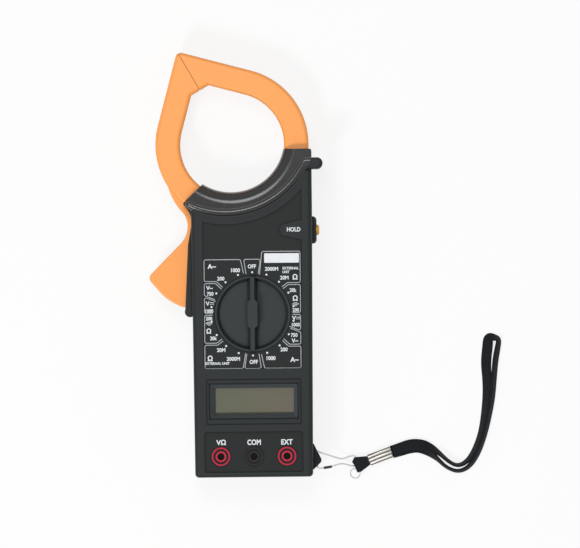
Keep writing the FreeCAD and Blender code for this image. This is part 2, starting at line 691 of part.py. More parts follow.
def screw(label, x, y, seat, head_height, tip, radius, head):
    """A cheese-head screw driven in from the back."""
    shank = cylinder(label + "_shank", radius, str(tip - seat + 0.5), x, y, seat - 0.5)
    cap = cylinder(label + "_head", head, str(head_height), x, y, seat - head_height)
    return fuse(label, [shank, cap])


def screws():
    group("case_screws", [screw("case_screw_%d" % n, x, y, v.screw_seat, v.screw_head_height,
                                v.screw_tip, "screw_radius", "screw_head")
                          for n, (x, y) in enumerate(CASE_SCREWS)])
    keep(screw("door_screw", 0, v.door_screw_line, 0.9, 0.9, v.door_thickness + 2.8,
               "screw_radius", "screw_head"), "door_screw")
    group("board_screws", [screw("board_screw_%d" % n, x, y, v.board_back, 1.2,
                                 v.board_back + 6, "0.95", "2.1")
                           for n, (x, y) in enumerate(BOARD_SCREWS)])


# ---------------------------------------------------------------- jaws, cores and coil

def fixed_jaw(front):
    body = new_body("fixed_jaw_front" if front else "fixed_jaw_rear")
    away = {"downward": not front}
    stop = v.collar_mouth + 0.1
    end = (angle_at_y(JAW, v.jaw_outer, stop), angle_at_y(JAW, v.jaw_inner, stop))
    pad(body, "ring", "parting", "jaw_thickness / 2",
        [ring_half(0, -1, end, v.jaw_tip_rounding)], **away)
    face = v.parting + (JAW_HALF if front else -JAW_HALF)
    soften(body, "edges", "jaw_rounding", lambda e: lies_at(e, face)
           and e.CenterOfMass.y > stop + 1 and not on_axis(e))
    neck_in = v.jaw_inner + v.neck_step
    neck_out = v.jaw_outer - v.neck_step
    neck = Outline().sweep(JAW, neck_out, 2, v.neck_end).sweep(JAW, neck_in, v.neck_end, 2)
    pad(body, "neck", "parting", "jaw_thickness / 2 - neck_cap", [neck], **away)
    hollow = ring_half(v.jaw_wall, -1, (v.neck_end - 1, v.neck_end - 1), 0)
    pocket(body, "hollow", "parting", "jaw_thickness / 2 - jaw_cap", [hollow], **away)
    return body


def on_axis(edge):
    """Whether an edge lies on the mating face at the jaw's tip."""
    lean = math.radians(v.jaw_lean)
    away = edge.CenterOfMass - Vector(*JAW, edge.CenterOfMass.z)
    across = abs(-away.x * math.sin(lean) + away.y * math.cos(lean))
    return across < v.jaw_gap and edge.BoundBox.DiagonalLength > 5


def near_pivot(x, y):
    return PIVOT[0] + x, PIVOT[1] + y


def trigger_outline():
    """The arm from the ring's root past the pivot, and the trigger at its end."""
    plan = Outline()
    root = polar(JAW, v.jaw_outer - 6, v.jaw_split - 4)
    inside = polar(JAW, v.jaw_outer - 3, v.jaw_split - 34)
    lobe = polar(JAW, v.jaw_outer - 0.2, v.jaw_split - 34)
    plan.at(root.x, root.y).at(inside.x, inside.y).at(lobe.x, lobe.y)
    plan.bow(*near_pivot(-15.6, 13.9), *near_pivot(-10.0, 6.4))
    plan.bow(*near_pivot(-8.1, 1.0), *near_pivot(-8.6, -4.4))
    plan.bow(*near_pivot(-10.2, -7.9), *near_pivot(-12.8, -11.0))
    plan.at(*near_pivot(-30.9, -29.4), 3.4).at(*near_pivot(-25.6, -35.3))
    plan.bow(*near_pivot(-18.7, -42.0), *near_pivot(-9.4, -46.3))
    plan.at(*near_pivot(-5.2, -46.4)).at(*near_pivot(-2.4, -38.0))
    foot = polar(PIVOT, v.hub_radius, -20)
    top = polar(PIVOT, v.hub_radius, 80)
    side = polar(PIVOT, v.hub_radius, 30)
    return plan.at(foot.x, foot.y).bow(side.x, side.y, top.x, top.y)


def moving_jaw(front):
    body = new_body("moving_jaw_front" if front else "moving_jaw_rear")
    away = {"downward": not front}
    end = (v.jaw_split, v.jaw_split)
    pad(body, "ring", "parting", "jaw_thickness / 2",
        [ring_half(0, 1, end, v.jaw_tip_rounding)], **away)
    face = v.parting + (JAW_HALF if front else -JAW_HALF)
    soften(body, "ring_soft", "jaw_rounding", lambda e: lies_at(e, face) and not on_axis(e)
           and e.CenterOfMass.y > v.pivot_y + 16)
    arm = JAW_HALF - v.arm_step
    pad(body, "trigger", "parting", "jaw_thickness / 2 - arm_step", [trigger_outline()],
        **away)
    level = v.parting + (arm if front else -arm)
    soften(body, "trigger_soft", "jaw_rounding / 2",
           lambda e: lies_at(e, level) and e.CenterOfMass.x < PIVOT[0] - 8.4
           and e.BoundBox.YMax < v.pivot_y - 0.7)
    hollow = ring_half(v.jaw_wall, 1, (v.jaw_split + 1, v.jaw_split + 1), 0)
    pocket(body, "hollow", "parting", "jaw_thickness / 2 - jaw_cap", [hollow], **away)
    well = Outline().at(*near_pivot(-10.2, -12.0), 1).at(*near_pivot(-25.6, -29.0), 2)
    well.at(*near_pivot(-18.0, -38.2), 2).at(*near_pivot(-9.6, -43.4), 1)
    well.at(*near_pivot(-6.0, -43.4), 1).at(*near_pivot(-3.4, -12.0), 1)
    pocket(body, "trigger_well", "parting", "jaw_thickness / 2 - arm_step - jaw_cap", [well],
           **away)
    pocket(body, "spring_well", "parting", "3.4", circles=[(*PIVOT, v.hub_radius - 1.4)], **away)
    pocket(body, "pin_hole", "parting", "jaw_thickness",
           circles=[(*PIVOT, v.pin_radius + v.pin_clearance)], **away)
    return body


def core(label, side, end):
    """A laminated core half, solid, inside its shells."""
    body = new_body(label)
    inset = v.jaw_wall + v.core_clearance
    pad(body, "stack", "parting - jaw_thickness / 2 + jaw_cap + core_clearance",
        "jaw_thickness - 2 * jaw_cap - 2 * core_clearance",
        [ring_half(inset, side, (end, end), 0)])
    return body


def arc_band(inset, start, end):
    plan = Outline().sweep(JAW, v.jaw_outer - inset, start, end)
    return plan.sweep(JAW, v.jaw_inner + inset, end, start)


def coil():
    """Bobbin and winding round the fixed core, inside the collar."""
    bore = v.jaw_wall
    tube = bore - v.bobbin_wall
    half = "(jaw_thickness / 2 - jaw_cap + bobbin_wall)"
    body = new_body("coil_bobbin")
    start = v.coil_start
    end = CORE_END + v.coil_margin
    pad(body, "tube", "parting - " + half, "2 * " + half, [arc_band(tube, start, end)])
    rise = half + " + flange_height - bobbin_wall"
    for name, first, sign in (("top", start, -1), ("foot", end, 1)):
        last = first + sign * math.degrees(v.flange_thickness / v.jaw_outer)
        pad(body, "flange_" + name, "parting - (%s)" % rise, "2 * (%s)" % rise,
            [arc_band(bore - v.flange_height, first, last)])
    pocket(body, "bore", "parting - jaw_thickness / 2 + jaw_cap",
           "jaw_thickness - 2 * jaw_cap", [arc_band(bore, start + 1, end - 1)])
    wire = new_body("coil_winding")
    inside = math.degrees(v.flange_thickness / v.jaw_outer) + 0.3
    band = (start - inside, end + inside)
    reach = "(jaw_thickness / 2 - jaw_cap + winding_height)"
    pad(wire, "bulk", "parting - " + reach, "2 * " + reach,
        [arc_band(bore - v.winding_height, *band)])
    pocket(wire, "room", "parting - %s - 0.1" % half, "2 * %s + 0.2" % half,
           [arc_band(tube - 0.1, band[0] + 1, band[1] - 1)])


def pivot():
    keep(cylinder("jaw_pivot_pin", "pin_radius", "26", *PIVOT, v.back_wall + 0.8),
         "jaw_pivot_pin")
    coil_radius = v.hub_radius - 2.4
    turns = 3
    pitch = 1.5
    helix = Part.makeHelix(pitch, pitch * turns, coil_radius)
    wire = Part.Wire([Part.Circle(Vector(coil_radius, 0, 0), Vector(0, 1, 0), 0.5).toShape()])
    spring = Part.Wire(helix.Edges).makePipeShell([wire], True, True)
    made = shaped("jaw_spring", spring)
    made.Placement = Placement(Vector(*PIVOT, v.parting - pitch * turns / 2), Rotation())


# ---------------------------------------------------------------- selector

def selector_knob():
    body = new_body("selector_knob")
    pad(body, "flange", "knob_back", "case_rim - panel_sink - panel_skin - 0.2 - knob_back",
        circles=[(0, 0, "knob_flange")])
    pad(body, "disc", "knob_back", "knob_face - knob_back", circles=[(0, 0, "knob_radius")])
    dish = v.knob_radius - v.knob_rim
    half_end = v.ridge_end / 2
    for name, side in (("right", 1), ("left", -1)):
        edge = math.degrees(math.asin(half_end / dish))
        start, finish = (90 - edge, edge - 90) if side == 1 else (90 + edge, 270 - edge)
        moon = Outline().sweep((0, 0), dish, start, finish)
        pocket(body, "dish_" + name, "knob_face", "knob_face - knob_floor", [moon],
               downward=True, taper=-25)
    grip = v.ridge_grip / 2
    wide = v.ridge_width / 2
    corner = 1.6
    tip = v.knob_radius - 0.35
    ridge = Outline().at(half_end, -tip, 0.5).at(half_end, -grip).at(wide, -grip + corner)
    ridge.at(wide, grip - corner).at(half_end, grip).at(half_end, tip, 0.5)
    ridge.at(-half_end, tip, 0.5).at(-half_end, grip).at(-wide, grip - corner)
    ridge.at(-wide, corner - grip).at(-half_end, -grip).at(-half_end, -tip, 0.5)
    pad(body, "ridge", "knob_back + 1", "ridge_top - knob_back - 1", [ridge])
    soften(body, "ridge_soft", "0.4", lambda e: lies_at(e, v.ridge_top))
    reach = v.knob_flange
    bore = v.ball_radius + 0.1
    level = (v.knob_back + v.case_rim - v.panel_sink - v.panel_skin - 0.2) / 2
    pocket(body, "bore_top", "-knob_flange - 1", "8", circles=[(0, level, bore)],
           plane="XZ_Plane")
    pocket(body, "bore_foot", "knob_flange + 1", "8", circles=[(0, level, bore)],
           plane="XZ_Plane", downward=True)
    seat = reach - 7.0
    balls = []
    coils = []
    for name, turn in (("top", 1), ("foot", -1)):
        ball = doc.addObject("Part::Sphere", "ball_" + name)
        bind(ball, "Radius", "ball_radius")
        ball.Placement = Placement(Vector(0, turn * (v.detent_crest - v.ball_radius - 0.15),
                                          level), Rotation())
        balls.append(ball)
        length = v.detent_crest - 2 * v.ball_radius - 0.15 - seat - 0.15
        coils.append(cylinder("detent_spring_" + name, "ball_radius - 0.15", str(length), 0,
                              turn * (seat + 0.05), level, Vector(0, turn, 0)))
    group("detent_balls", balls)
    group("detent_springs", coils)


def selector_contacts():
    body = new_body("selector_rotor")
    back = "knob_back - 0.05"
    pad(body, "disc", back, "rotor_thickness", circles=[(0, 0, "rotor_radius")], downward=True)
    gaps = [box_outline(-3 + 8 * math.cos(math.radians(a)), -3 + 8 * math.sin(math.radians(a)),
                        3 + 8 * math.cos(math.radians(a)), 3 + 8 * math.sin(math.radians(a)), 1)
            for a in (0, 120, 240)]
    pocket(body, "windows", back, "rotor_thickness", gaps, downward=True)
    top = v.knob_back - 0.05 - v.rotor_thickness
    low = v.board_back + v.board_thickness + v.board_gap
    blades = [block("blade_%d" % n, "9", "1.6", str(top - low), x, y, low)
              for n, (x, y) in enumerate(((-4.5, 13.5), (-4.5, -15.1), (4.0, 5.0)))]
    group("contact_blades", blades)


# ---------------------------------------------------------------- board, display, inner parts

def circuit_board():
    body = new_body("circuit_board")
    left = PIVOT[0] + 4.0
    right = v.half_width_shoulder - 5.7
    foot = 3.5 - v.foot_reach
    notch = FOOT_SCREWS + 11.1
    tail = v.half_width_foot - 10.4
    plan = Outline().at(left, 44).at(left, notch + 1.4).at(-tail, notch).at(-tail, foot)
    plan.at(tail, foot).at(tail, notch).at(right, notch + 1.4).at(right, 44)
    pad(body, "sheet", "board_back", "board_thickness", [plan])
    holes = [(x, y, 1.1) for x, y in BOARD_SCREWS]
    sleeve = v.jack_bore + v.sleeve_wall + v.screw_play
    holes += [(x, JACK_LINE, sleeve) for x in JACKS]
    pocket(body, "holes", "board_back", "board_thickness", circles=holes)
    chips = [(-4, -26, 14, 14, 1.8), (14, -14, 7, 10, 1.6), (15, 8, 6, 12, 3.2),
             (-2, 34, 5, 9, 2.4)]
    group("board_chips", [block("chip_%d" % n, str(wide), str(deep), str(high), x, y,
                                v.board_back - high - 0.02)
                          for n, (x, y, wide, deep, high) in enumerate(chips)])
    keep(cylinder("buzzer", "5.5", "5.4", 11, 34, v.board_back - 5.42), "buzzer")


def display():
    ceiling = v.case_rim - v.panel_sink - v.panel_skin
    x, y = v.window_x, v.window_y
    lens_x = v.window_width / 2 + v.lens_margin
    lens_y = v.window_height / 2 + v.lens_margin
    lens = new_body("lcd_window")
    pad(lens, "pane", PANEL_INSIDE + " - 0.1 - lens_thickness", "lens_thickness",
        [box_outline(x - lens_x, y - lens_y, x + lens_x, y + lens_y)])
    low = ceiling - 0.1 - v.lens_thickness - 0.1 - v.glass_thickness
    glass = new_body("lcd_glass")
    pad(glass, "cell", PANEL_INSIDE + " - 0.2 - lens_thickness - glass_thickness",
        "glass_thickness", [box_outline(x - lens_x, y - lens_y - 1, x + lens_x, y + lens_y + 1)])
    frame = new_body("lcd_frame")
    hole = box_outline(x - lens_x - 0.15, y - lens_y - 1.15, x + lens_x + 0.15,
                       y + lens_y + 1.15)
    rim = box_outline(x - lens_x - 1.6, y - lens_y - 2.4, x + lens_x + 1.6, y + lens_y + 2.4)
    pad(frame, "wall", "board_back + board_thickness + board_gap",
        PANEL_INSIDE + " - board_back - board_thickness - board_gap - 0.1", [rim, hole])
    foot = v.board_back + v.board_thickness + v.board_gap
    strips = [block("zebra_%d" % n, "42", "1.6", str(low - foot - 0.05), x - 21,
                    y + offset - 0.8, foot) for n, offset in enumerate((-8.0, 8.0))]
    group("zebra_strip", strips)


def jacks():
    names = ("jack_left", "jack_common", "jack_right")
    sleeves = []
    for name, x in zip(names, JACKS):
        body = new_body(name)
        top = "case_rim - 0.05"
        pad(body, "flange", PANEL_INSIDE + " - 0.1", "2.0",
            circles=[(x, JACK_LINE, v.jack_radius + 1.3)], downward=True)
        pad(body, "barrel", top, "8", circles=[(x, JACK_LINE, "jack_radius")], downward=True)
        pocket(body, "groove", top, "3.2", circles=[(x, JACK_LINE, "jack_groove"),
                                                    (x, JACK_LINE, "jack_collar")],
               downward=True)
        pocket(body, "mouth", top, "jack_lip", circles=[(x, JACK_LINE, "jack_bore")],
               downward=True)
        pocket(body, "seat", top + " - jack_lip", "12",
               circles=[(x, JACK_LINE, v.jack_bore + v.sleeve_wall + 0.02)], downward=True)
        sleeve = cylinder(name + "_sleeve_wall", "jack_bore + sleeve_wall",
                          "case_rim - 0.1 - jack_lip - sleeve_foot", x, JACK_LINE,
                          v.sleeve_foot)
        bore = cylinder(name + "_sleeve_bore", "jack_bore", "jack_depth + 1", x, JACK_LINE,
                        v.case_rim - 0.05 - v.jack_depth)
        sleeves.append(cut(name + "_sleeve", sleeve, bore))
    group("jack_sleeves", sleeves)


def hold_button():
    x_flange = v.half_width_shoulder - v.case_wall - 0.35
    body = new_body("hold_button")
    pad(body, "flange", str(x_flange - 1), "1", circles=[(v.hold_line, v.hold_level,
        "hold_flange")], plane="YZ_Plane")
    pad(body, "stem", str(x_flange - 0.5), str(HOLD_TIP - x_flange + 0.5),
        circles=[(v.hold_line, v.hold_level, "hold_radius")], plane="YZ_Plane")
    soften(body, "dome", "1.3", lambda e: abs(e.BoundBox.XMin - HOLD_TIP) < 0.01)
    rear = x_flange - 1
    keep(cylinder("switch_plunger", "1.5", "5.2", rear - 5.25, v.hold_line, v.hold_level,
                  Vector(1, 0, 0)), "switch_plunger")
    housing = block("switch_housing", "6", "6", "6.4", rear - 8.4, v.hold_line - 3,
                    v.board_back - 6.42)
    well = cylinder("switch_well", "1.6", "5", rear - 7.1, v.hold_line, v.hold_level,
                    Vector(1, 0, 0))
    keep(cut("hold_switch", housing, well), "hold_switch")


def battery():
    low = v.door_thickness + 0.2
    mid = (v.bay_top + v.bay_foot) / 2
    width = v.bay_top - v.bay_foot - 1.2
    left = 0.3 - v.bay_half_width
    case = block("battery_case", "46", str(width), "17.5", left, mid - width / 2, low)
    posts = [cylinder("battery_post_%d" % n, "2.9", "2.6", left + 45.9, mid + side, low + 8.75,
                      Vector(1, 0, 0)) for n, side in enumerate((-6.3, 6.3))]
    keep(fuse("battery", [case] + posts), "battery")
    snap_x = left + 48.6
    keep(block("battery_snap", "2.2", "22", "13", snap_x, mid - 11, low + 2.2), "battery_snap")
    leads = []
    for n, side in enumerate((-3.0, 3.0)):
        start = Vector(snap_x + 1.1, mid + side, low + 15.25)
        route = [start, start + Vector(0, 0, 2.4), start + Vector(0, side, 4.4)]
        route.append(Vector(start.x, start.y + side, v.board_back - 0.05))
        path, radii = rounded_path(route)
        round_wire = Part.Wire([Part.Circle(start, Vector(0, 0, 1), 0.6).toShape()])
        lead = doc.addObject("Part::Feature", "lead_%d" % n)
        lead.Shape = path.makePipeShell([round_wire], True, False)
        leads.append(lead)
    group("battery_leads", leads)


# ---------------------------------------------------------------- hook and strap

def rounded_path(points):
    """Straight runs joined by tangent arcs, each as large as its two runs allow."""
    edges = []
    radii = []
    here = points[0]
    for before, corner, after in zip(points, points[1:], points[2:]):
        back = before - corner
        onward = after - corner
        half = back.getAngle(onward) / 2
        radius = 0.45 * min(back.Length, onward.Length) * math.tan(half)
        reach = radius / math.tan(half)
        first = corner + back.normalize() * reach
        last = corner + onward.normalize() * reach
        inward = (back + onward).normalize()
        middle = corner + inward * (radius / math.sin(half) - radius)
        edges.append(Part.LineSegment(here, first).toShape())
        edges.append(Part.Arc(first, middle, last).toShape())
        here = last
        radii.append(radius)
    edges.append(Part.LineSegment(here, points[-1]).toShape())
    return Part.Wire(edges), radii


FERRULE_END = Vector(77.2, -78.7, 0)
FERRULE_START = Vector(64.6, -83.3, 0)

# The webbing's loop: out along its upper leg, round the fold at the far end, and back.
STRAP_ROUTE = [
    (77.2, -77.8), (82.0, -75.7), (87.6, -72.6), (94.2, -72.4), (99.6, -75.6),
    (104.6, -80.1), (110.2, -84.2), (114.6, -85.4), (118.9, -83.2), (123.0, -77.4),
    (126.2, -69.6), (128.2, -59.6), (129.6, -47.6), (130.4, -34.8), (130.7, -25.0),
    (131.2, -18.2), (132.4, -13.8), (135.2, -12.4), (137.3, -14.8), (136.7, -19.6),
    (135.9, -26.8), (135.4, -36.4), (134.4, -48.4), (133.0, -61.2), (130.4, -72.0),
    (126.6, -80.8), (121.0, -87.6), (114.4, -90.4), (107.6, -87.6), (101.8, -82.6),
    (96.6, -77.8), (91.6, -75.6), (86.0, -76.6), (81.4, -78.2), (77.8, -79.8),
]


def hook_and_ring():
    """Wire hook through the ear's hole and the strap's end loop, and the split ring."""
    level = v.lug_level
    x = v.lug_hole_x
    points = [Vector(42.2, v.lug_foot + 1.0, 9.7), Vector(38.9, v.lug_foot + 0.7, 11.0),
              Vector(x, v.lug_foot + 0.2, level), Vector(x, v.lug_top - 3.9, level),
              Vector(x + 2.0, v.lug_top - 5.2, level - 0.4), Vector(49.5, -82.6, 4.6),
              Vector(54.2, -80.6, 2.75), Vector(57.2, -80.4, 2.55), Vector(57.2, -86.8, 2.55),
              Vector(54.2, -86.2, 2.75), Vector(49.5, -84.75, 4.6),
              Vector(43.2, v.lug_foot + 1.4, 9.2)]
    path, radii = rounded_path(points)
    start = points[0]
    along = (points[1] - points[0]).normalize()
    ring = Part.Wire([Part.Circle(start, along, v.hook_wire).toShape()])
    shaped("strap_hook", path.makePipeShell([ring], True, False))
    loop = doc.addObject("Part::Torus", "strap_ring")
    bind(loop, "Radius1", "ring_radius")
    bind(loop, "Radius2", "ring_wire")
    lift = v.strap_lift + v.ring_wire + v.ring_radius * math.sin(math.radians(v.ring_tilt))
    loop.Placement = Placement(Vector(56.7, -90.7, lift + 0.1),
                               Rotation(Vector(1, -1, 0), v.ring_tilt))
    keep(loop, "strap_ring")


def strap():
    low = v.strap_lift
    along = (FERRULE_END - FERRULE_START).normalize()
    across = Vector(-along.y, along.x, 0)
    half = v.strap_width / 2
    body = new_body("strap_ferrule")
    plan = Outline()
    for corner, side in ((FERRULE_START, -1), (FERRULE_END, -1), (FERRULE_END, 1),
                         (FERRULE_START, 1)):
        spot = corner + across * (side * half)
        plan.at(spot.x, spot.y, 0.6)
    pad(body, "block", str(low), "strap_width * 0.75", [plan])
    tab = new_body("strap_end_loop")
    heel = FERRULE_START - along * 0.05
    left = heel + across * (half - 0.6)
    right = heel - across * (half - 0.6)
    plan = Outline().at(right.x, right.y).at(left.x, left.y).at(56.3, -81.5, 1.0)
    plan.at(55.0, -84.1, 0.8).at(56.4, -86.3).at(58.0, -90.2, 0.6).at(60.1, -89.7, 0.6)
    pad(tab, "fold", "strap_lift + fold_lift", "fold_height", [plan])
    room = Outline().at(56.2, -86.2).at(56.2, -79.0).at(58.4, -79.0).at(58.4, -86.2)
    room.at(60.4, -87.2).at(61.4, -92.0).at(54.0, -92.0).at(54.0, -86.2)
    pocket(tab, "loop", "strap_lift + fold_lift + fold_layer", "fold_height - 2 * fold_layer",
           [room])
    webbing(low)


def webbing(low):
    points = [Vector(x, y, low) for x, y in STRAP_ROUTE]
    path, radii = rounded_path(points)
    print("strap arc radii", " ".join("%.1f" % radius for radius in radii))
    start = points[0]
    along = (points[1] - start).normalize()
    across = Vector(-along.y, along.x, 0) * (v.strap_thickness / 2)
    up = Vector(0, 0, v.strap_width)
    section = Part.makePolygon([start + across, start - across, start - across + up,
                                start + across + up, start + across])
    band = path.makePipeShell([section], True, False)
    wanted = v.strap_thickness * v.strap_width * path.Length
    print("strap length %.1f, volume %.1f of %.1f" % (path.Length, band.Volume, wanted))
    shaped("strap_webbing", band)


# ---------------------------------------------------------------- build and write

def export():
    doc.recompute()
    faults = [thing.Label for thing in doc.Objects
              if "Invalid" in thing.State or "Error" in thing.State]
    for node in NODES:
        shape = node.Shape
        if shape.isNull() or not shape.isValid() or shape.Volume <= 0:
            faults.append(node.Label + " shape")
    if faults:
        raise RuntimeError("failed: " + ", ".join(faults))
    os.makedirs("parts", exist_ok=True)
    for node in NODES:
        node.Shape.exportStep("parts/%s.step" % node.Label)
        box = node.Shape.BoundBox
        print("%-18s solids %2d volume %9.1f  x %.1f..%.1f y %.1f..%.1f z %.1f..%.1f" % (
            node.Label, len(node.Shape.Solids), node.Shape.Volume, box.XMin, box.XMax,
            box.YMin, box.YMax, box.ZMin, box.ZMax))


front_case()
rear_case()
battery_door()
screws()
for front in (True, False):
    fixed_jaw(front)
    moving_jaw(front)
core("fixed_core", -1, CORE_END + math.degrees(v.jaw_gap / v.jaw_inner))
core("moving_core", 1, v.jaw_split)
coil()
pivot()
selector_knob()
selector_contacts()
circuit_board()
display()
jacks()
hold_button()
battery()
hook_and_ring()
strap()
export()
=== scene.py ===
import math

import bmesh
import bpy
from mathutils import Matrix, Vector


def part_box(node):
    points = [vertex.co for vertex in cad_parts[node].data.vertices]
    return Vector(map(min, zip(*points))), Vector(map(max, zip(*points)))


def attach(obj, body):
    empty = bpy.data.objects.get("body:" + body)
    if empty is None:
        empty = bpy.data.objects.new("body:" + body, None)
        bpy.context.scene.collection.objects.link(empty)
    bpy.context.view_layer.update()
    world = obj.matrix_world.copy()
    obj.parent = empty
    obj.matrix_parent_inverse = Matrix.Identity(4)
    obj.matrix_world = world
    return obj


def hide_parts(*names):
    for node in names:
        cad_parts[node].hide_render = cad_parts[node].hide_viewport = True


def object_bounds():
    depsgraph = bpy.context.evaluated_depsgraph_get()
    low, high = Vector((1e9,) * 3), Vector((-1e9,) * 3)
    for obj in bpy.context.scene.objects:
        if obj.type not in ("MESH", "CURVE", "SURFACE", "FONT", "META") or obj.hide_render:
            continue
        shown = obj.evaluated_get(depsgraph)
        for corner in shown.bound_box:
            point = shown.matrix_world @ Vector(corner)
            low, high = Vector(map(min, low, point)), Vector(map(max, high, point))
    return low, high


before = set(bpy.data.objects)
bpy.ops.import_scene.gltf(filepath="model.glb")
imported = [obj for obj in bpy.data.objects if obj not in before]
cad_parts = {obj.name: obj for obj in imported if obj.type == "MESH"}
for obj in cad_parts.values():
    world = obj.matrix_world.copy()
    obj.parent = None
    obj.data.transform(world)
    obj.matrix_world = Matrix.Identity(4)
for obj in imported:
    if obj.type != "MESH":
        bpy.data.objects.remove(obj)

# Looks of a clamp meter with a wrist strap, lying on its back.
# Metres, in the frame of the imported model: +Y towards the jaw's tip, +Z out of the front face.
# Angles in the tables are in degrees.

bl_info = {
    "name": "Clamp meter",
    "version": (1, 0, 0),
    "blender": (4, 5, 0),
    "location": "View3D > Sidebar > Clamp meter",
    "description": "Finishes, dial print, display and wrist strap of a clamp meter",
    "category": "Object",
}

FRAME_BOX = [list(corner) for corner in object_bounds()]
MM = 0.001
PANEL_LEVEL = 33.2 * MM
GUARD_CENTRE = (-14.4 * MM, 105.8 * MM)
GUARD_EDGE = 51.4 * MM      # just outside the guard rib; the gloss ends here
JAW_CENTRE = Vector((-10.6 * MM, 95.0 * MM, 0))
JAW_LEAN = math.radians(120)    # the way from the jaws' centre to the slit between them
SEAM_REACH = (36.3 * MM, 59.2 * MM)     # from the jaws' centre to the slit's two ends
SEAM_LEVELS = (7.6 * MM, 22.5 * MM)
SLIT = 0.3 * MM
DIAL_STEPS = 18
JACK_SHADE_LEVELS = (33.5 * MM, 33.8 * MM)   # below these levels the inserts are painted near-black as painted shade in their sockets, coloured above

# Half of the dial's sector lines, in millimetres from the dial's middle; the other half is
# the same turned half round, except that the plate's sector reaches farther up.
SECTOR_LINES = [
    [(4.8, -22.7), (6.5, -30.5), (26.9, -30.5), (26.9, -18.3), (20.1, -18.3), (16.6, -15.1)],
    [(17.2, -14.0), (20.6, -17.2), (26.9, -17.2), (26.9, -10.5), (21.1, -8.2)],
    [(20.6, -7.2), (26.9, -9.6), (26.9, -0.6), (22.4, -0.6)],
    [(22.4, 0.5), (26.9, 0.5), (26.9, 16.2), (20.1, 16.2), (17.2, 13.9)],
    [(-3.4, -22.4), (-4.7, -30.6), (4.7, -30.6), (3.4, -22.4)],
]
RANGE_LINE = [(16.6, 15.0), (19.7, 17.3), (26.9, 17.3), (26.9, 30.5), (5.5, 30.5), (4.1, 22.0)]
PLATE_RISE = 4.4
PLATE = (6.8, 28.5, 26.3, 33.8)

# Words printed on the case: text, middle x and y, height of the capitals, width or 0.
DIAL_WORDS = [
    ("OFF", -0.1, 26.6, 2.3, 4.6), ("OFF", 0.4, -26.9, 2.3, 4.6),
    ("A~", -22.6, 26.8, 2.7, 0), ("1000", -9.3, 24.5, 2.3, 5.0),
    ("200", -17.6, 19.9, 2.2, 4.0), ("V~", -24.0, 14.7, 2.3, 0),
    ("750", -23.6, 11.4, 2.2, 3.7), ("2000M", 10.9, 25.1, 2.2, 7.4),
    ("20M", 18.0, 20.1, 2.2, 4.7), ("\u03a9", 24.0, 20.5, 3.1, 0),
    ("20k", 22.8, 13.1, 2.2, 3.8), ("V", -25.1, 6.0, 2.4, 0),
    ("1000", -24.2, 1.8, 2.1, 4.4), ("200", -24.4, -2.4, 2.1, 3.6),
    ("\u03a9", -24.6, -9.4, 2.9, 0), ("20k", -22.0, -13.5, 2.2, 3.8),
    ("20M", -17.8, -20.1, 2.2, 4.7), ("2000M", -11.0, -25.1, 2.2, 7.4),
    ("\u03a9", -24.0, -24.7, 3.1, 0), ("1000", 10.1, -24.9, 2.3, 5.0),
    ("200", 17.4, -20.1, 2.2, 4.0), ("A~", 23.2, -25.8, 2.7, 0),
    ("750", 23.2, -12.1, 2.2, 3.7), ("V~", 23.6, -15.2, 2.3, 0),
    ("V", 23.2, -2.6, 2.4, 0), ("1000", 24.2, -6.3, 2.1, 4.4),
    ("200", 24.2, 2.0, 2.1, 3.6), ("\u03a9", 24.0, 8.6, 3.1, 0),
    ("EXTERNAL", 21.6, 25.4, 1.5, 9.0), ("UNIT", 18.9, 23.3, 1.5, 3.9),
    ("EXTERNAL UNIT", -19.9, -27.6, 1.5, 13.6),
]
CASE_WORDS = [
    ("HOLD", 23.5, 47.1, 2.5, 7.6), ("V\u03a9", -18.4, -71.8, 3.0, 5.4),
    ("COM", 0.1, -71.9, 3.1, 7.6), ("EXT", 18.5, -71.9, 3.0, 6.4),
]
STEADY_SIGNS = [(-22.7, 6.0), (25.6, -2.6)]
SOUND_SIGNS = [(-24.4, -5.5), (24.2, 4.9)]

# The strap's centre line: x, y, z in metres, and its turn in degrees from standing on edge.
STRAP_ROUTE = [
    (0.0772, -0.0784, 0.0022, 88), (0.0821, -0.0768, 0.0022, 88),
    (0.0876, -0.0747, 0.0023, 86), (0.0937, -0.0746, 0.0025, 76),
    (0.0988, -0.0762, 0.0029, 46), (0.1040, -0.0794, 0.0032, 16),
    (0.1100, -0.0850, 0.0033, 9), (0.1149, -0.0871, 0.0033, 11),
    (0.1201, -0.0845, 0.0033, 18), (0.1244, -0.0781, 0.0033, 22),
    (0.1278, -0.0691, 0.0033, 23), (0.1295, -0.0606, 0.0032, 27),
    (0.1312, -0.0488, 0.0030, 38), (0.1316, -0.0385, 0.0026, 50),
    (0.1310, -0.0287, 0.0020, 66), (0.1321, -0.0198, 0.0018, 72),
    (0.1325, -0.0148, 0.0021, 62), (0.1358, -0.0148, 0.0029, 30),
    (0.1386, -0.0158, 0.0033, 20), (0.1377, -0.0208, 0.0033, 26),
    (0.1364, -0.0274, 0.0033, 27), (0.1355, -0.0373, 0.0033, 25),
    (0.1346, -0.0488, 0.0033, 22), (0.1323, -0.0603, 0.0033, 21),
    (0.1299, -0.0699, 0.0033, 20), (0.1259, -0.0808, 0.0033, 20),
    (0.1207, -0.0880, 0.0033, 18), (0.1145, -0.0904, 0.0033, 12),
    (0.1080, -0.0877, 0.0033, 9), (0.1030, -0.0827, 0.0032, 14),
    (0.0980, -0.0786, 0.0025, 44), (0.0927, -0.0761, 0.0012, 74),
    (0.0870, -0.0767, 0.0010, 86), (0.0817, -0.0783, 0.0009, 89),
    (0.0778, -0.0792, 0.0009, 89),
]
FERRULE = (Vector((0.0646, -0.0833, 0)), Vector((0.0772, -0.0787, 0)))
FERRULE_WIDTH = 6.3 * MM
FERRULE_LEVELS = (0.12 * MM, 4.7 * MM)
RIDGE_PITCH = FERRULE_WIDTH / 3.2
RING_RADIUS = 2.75 * MM
RING_WIRE = 0.5 * MM
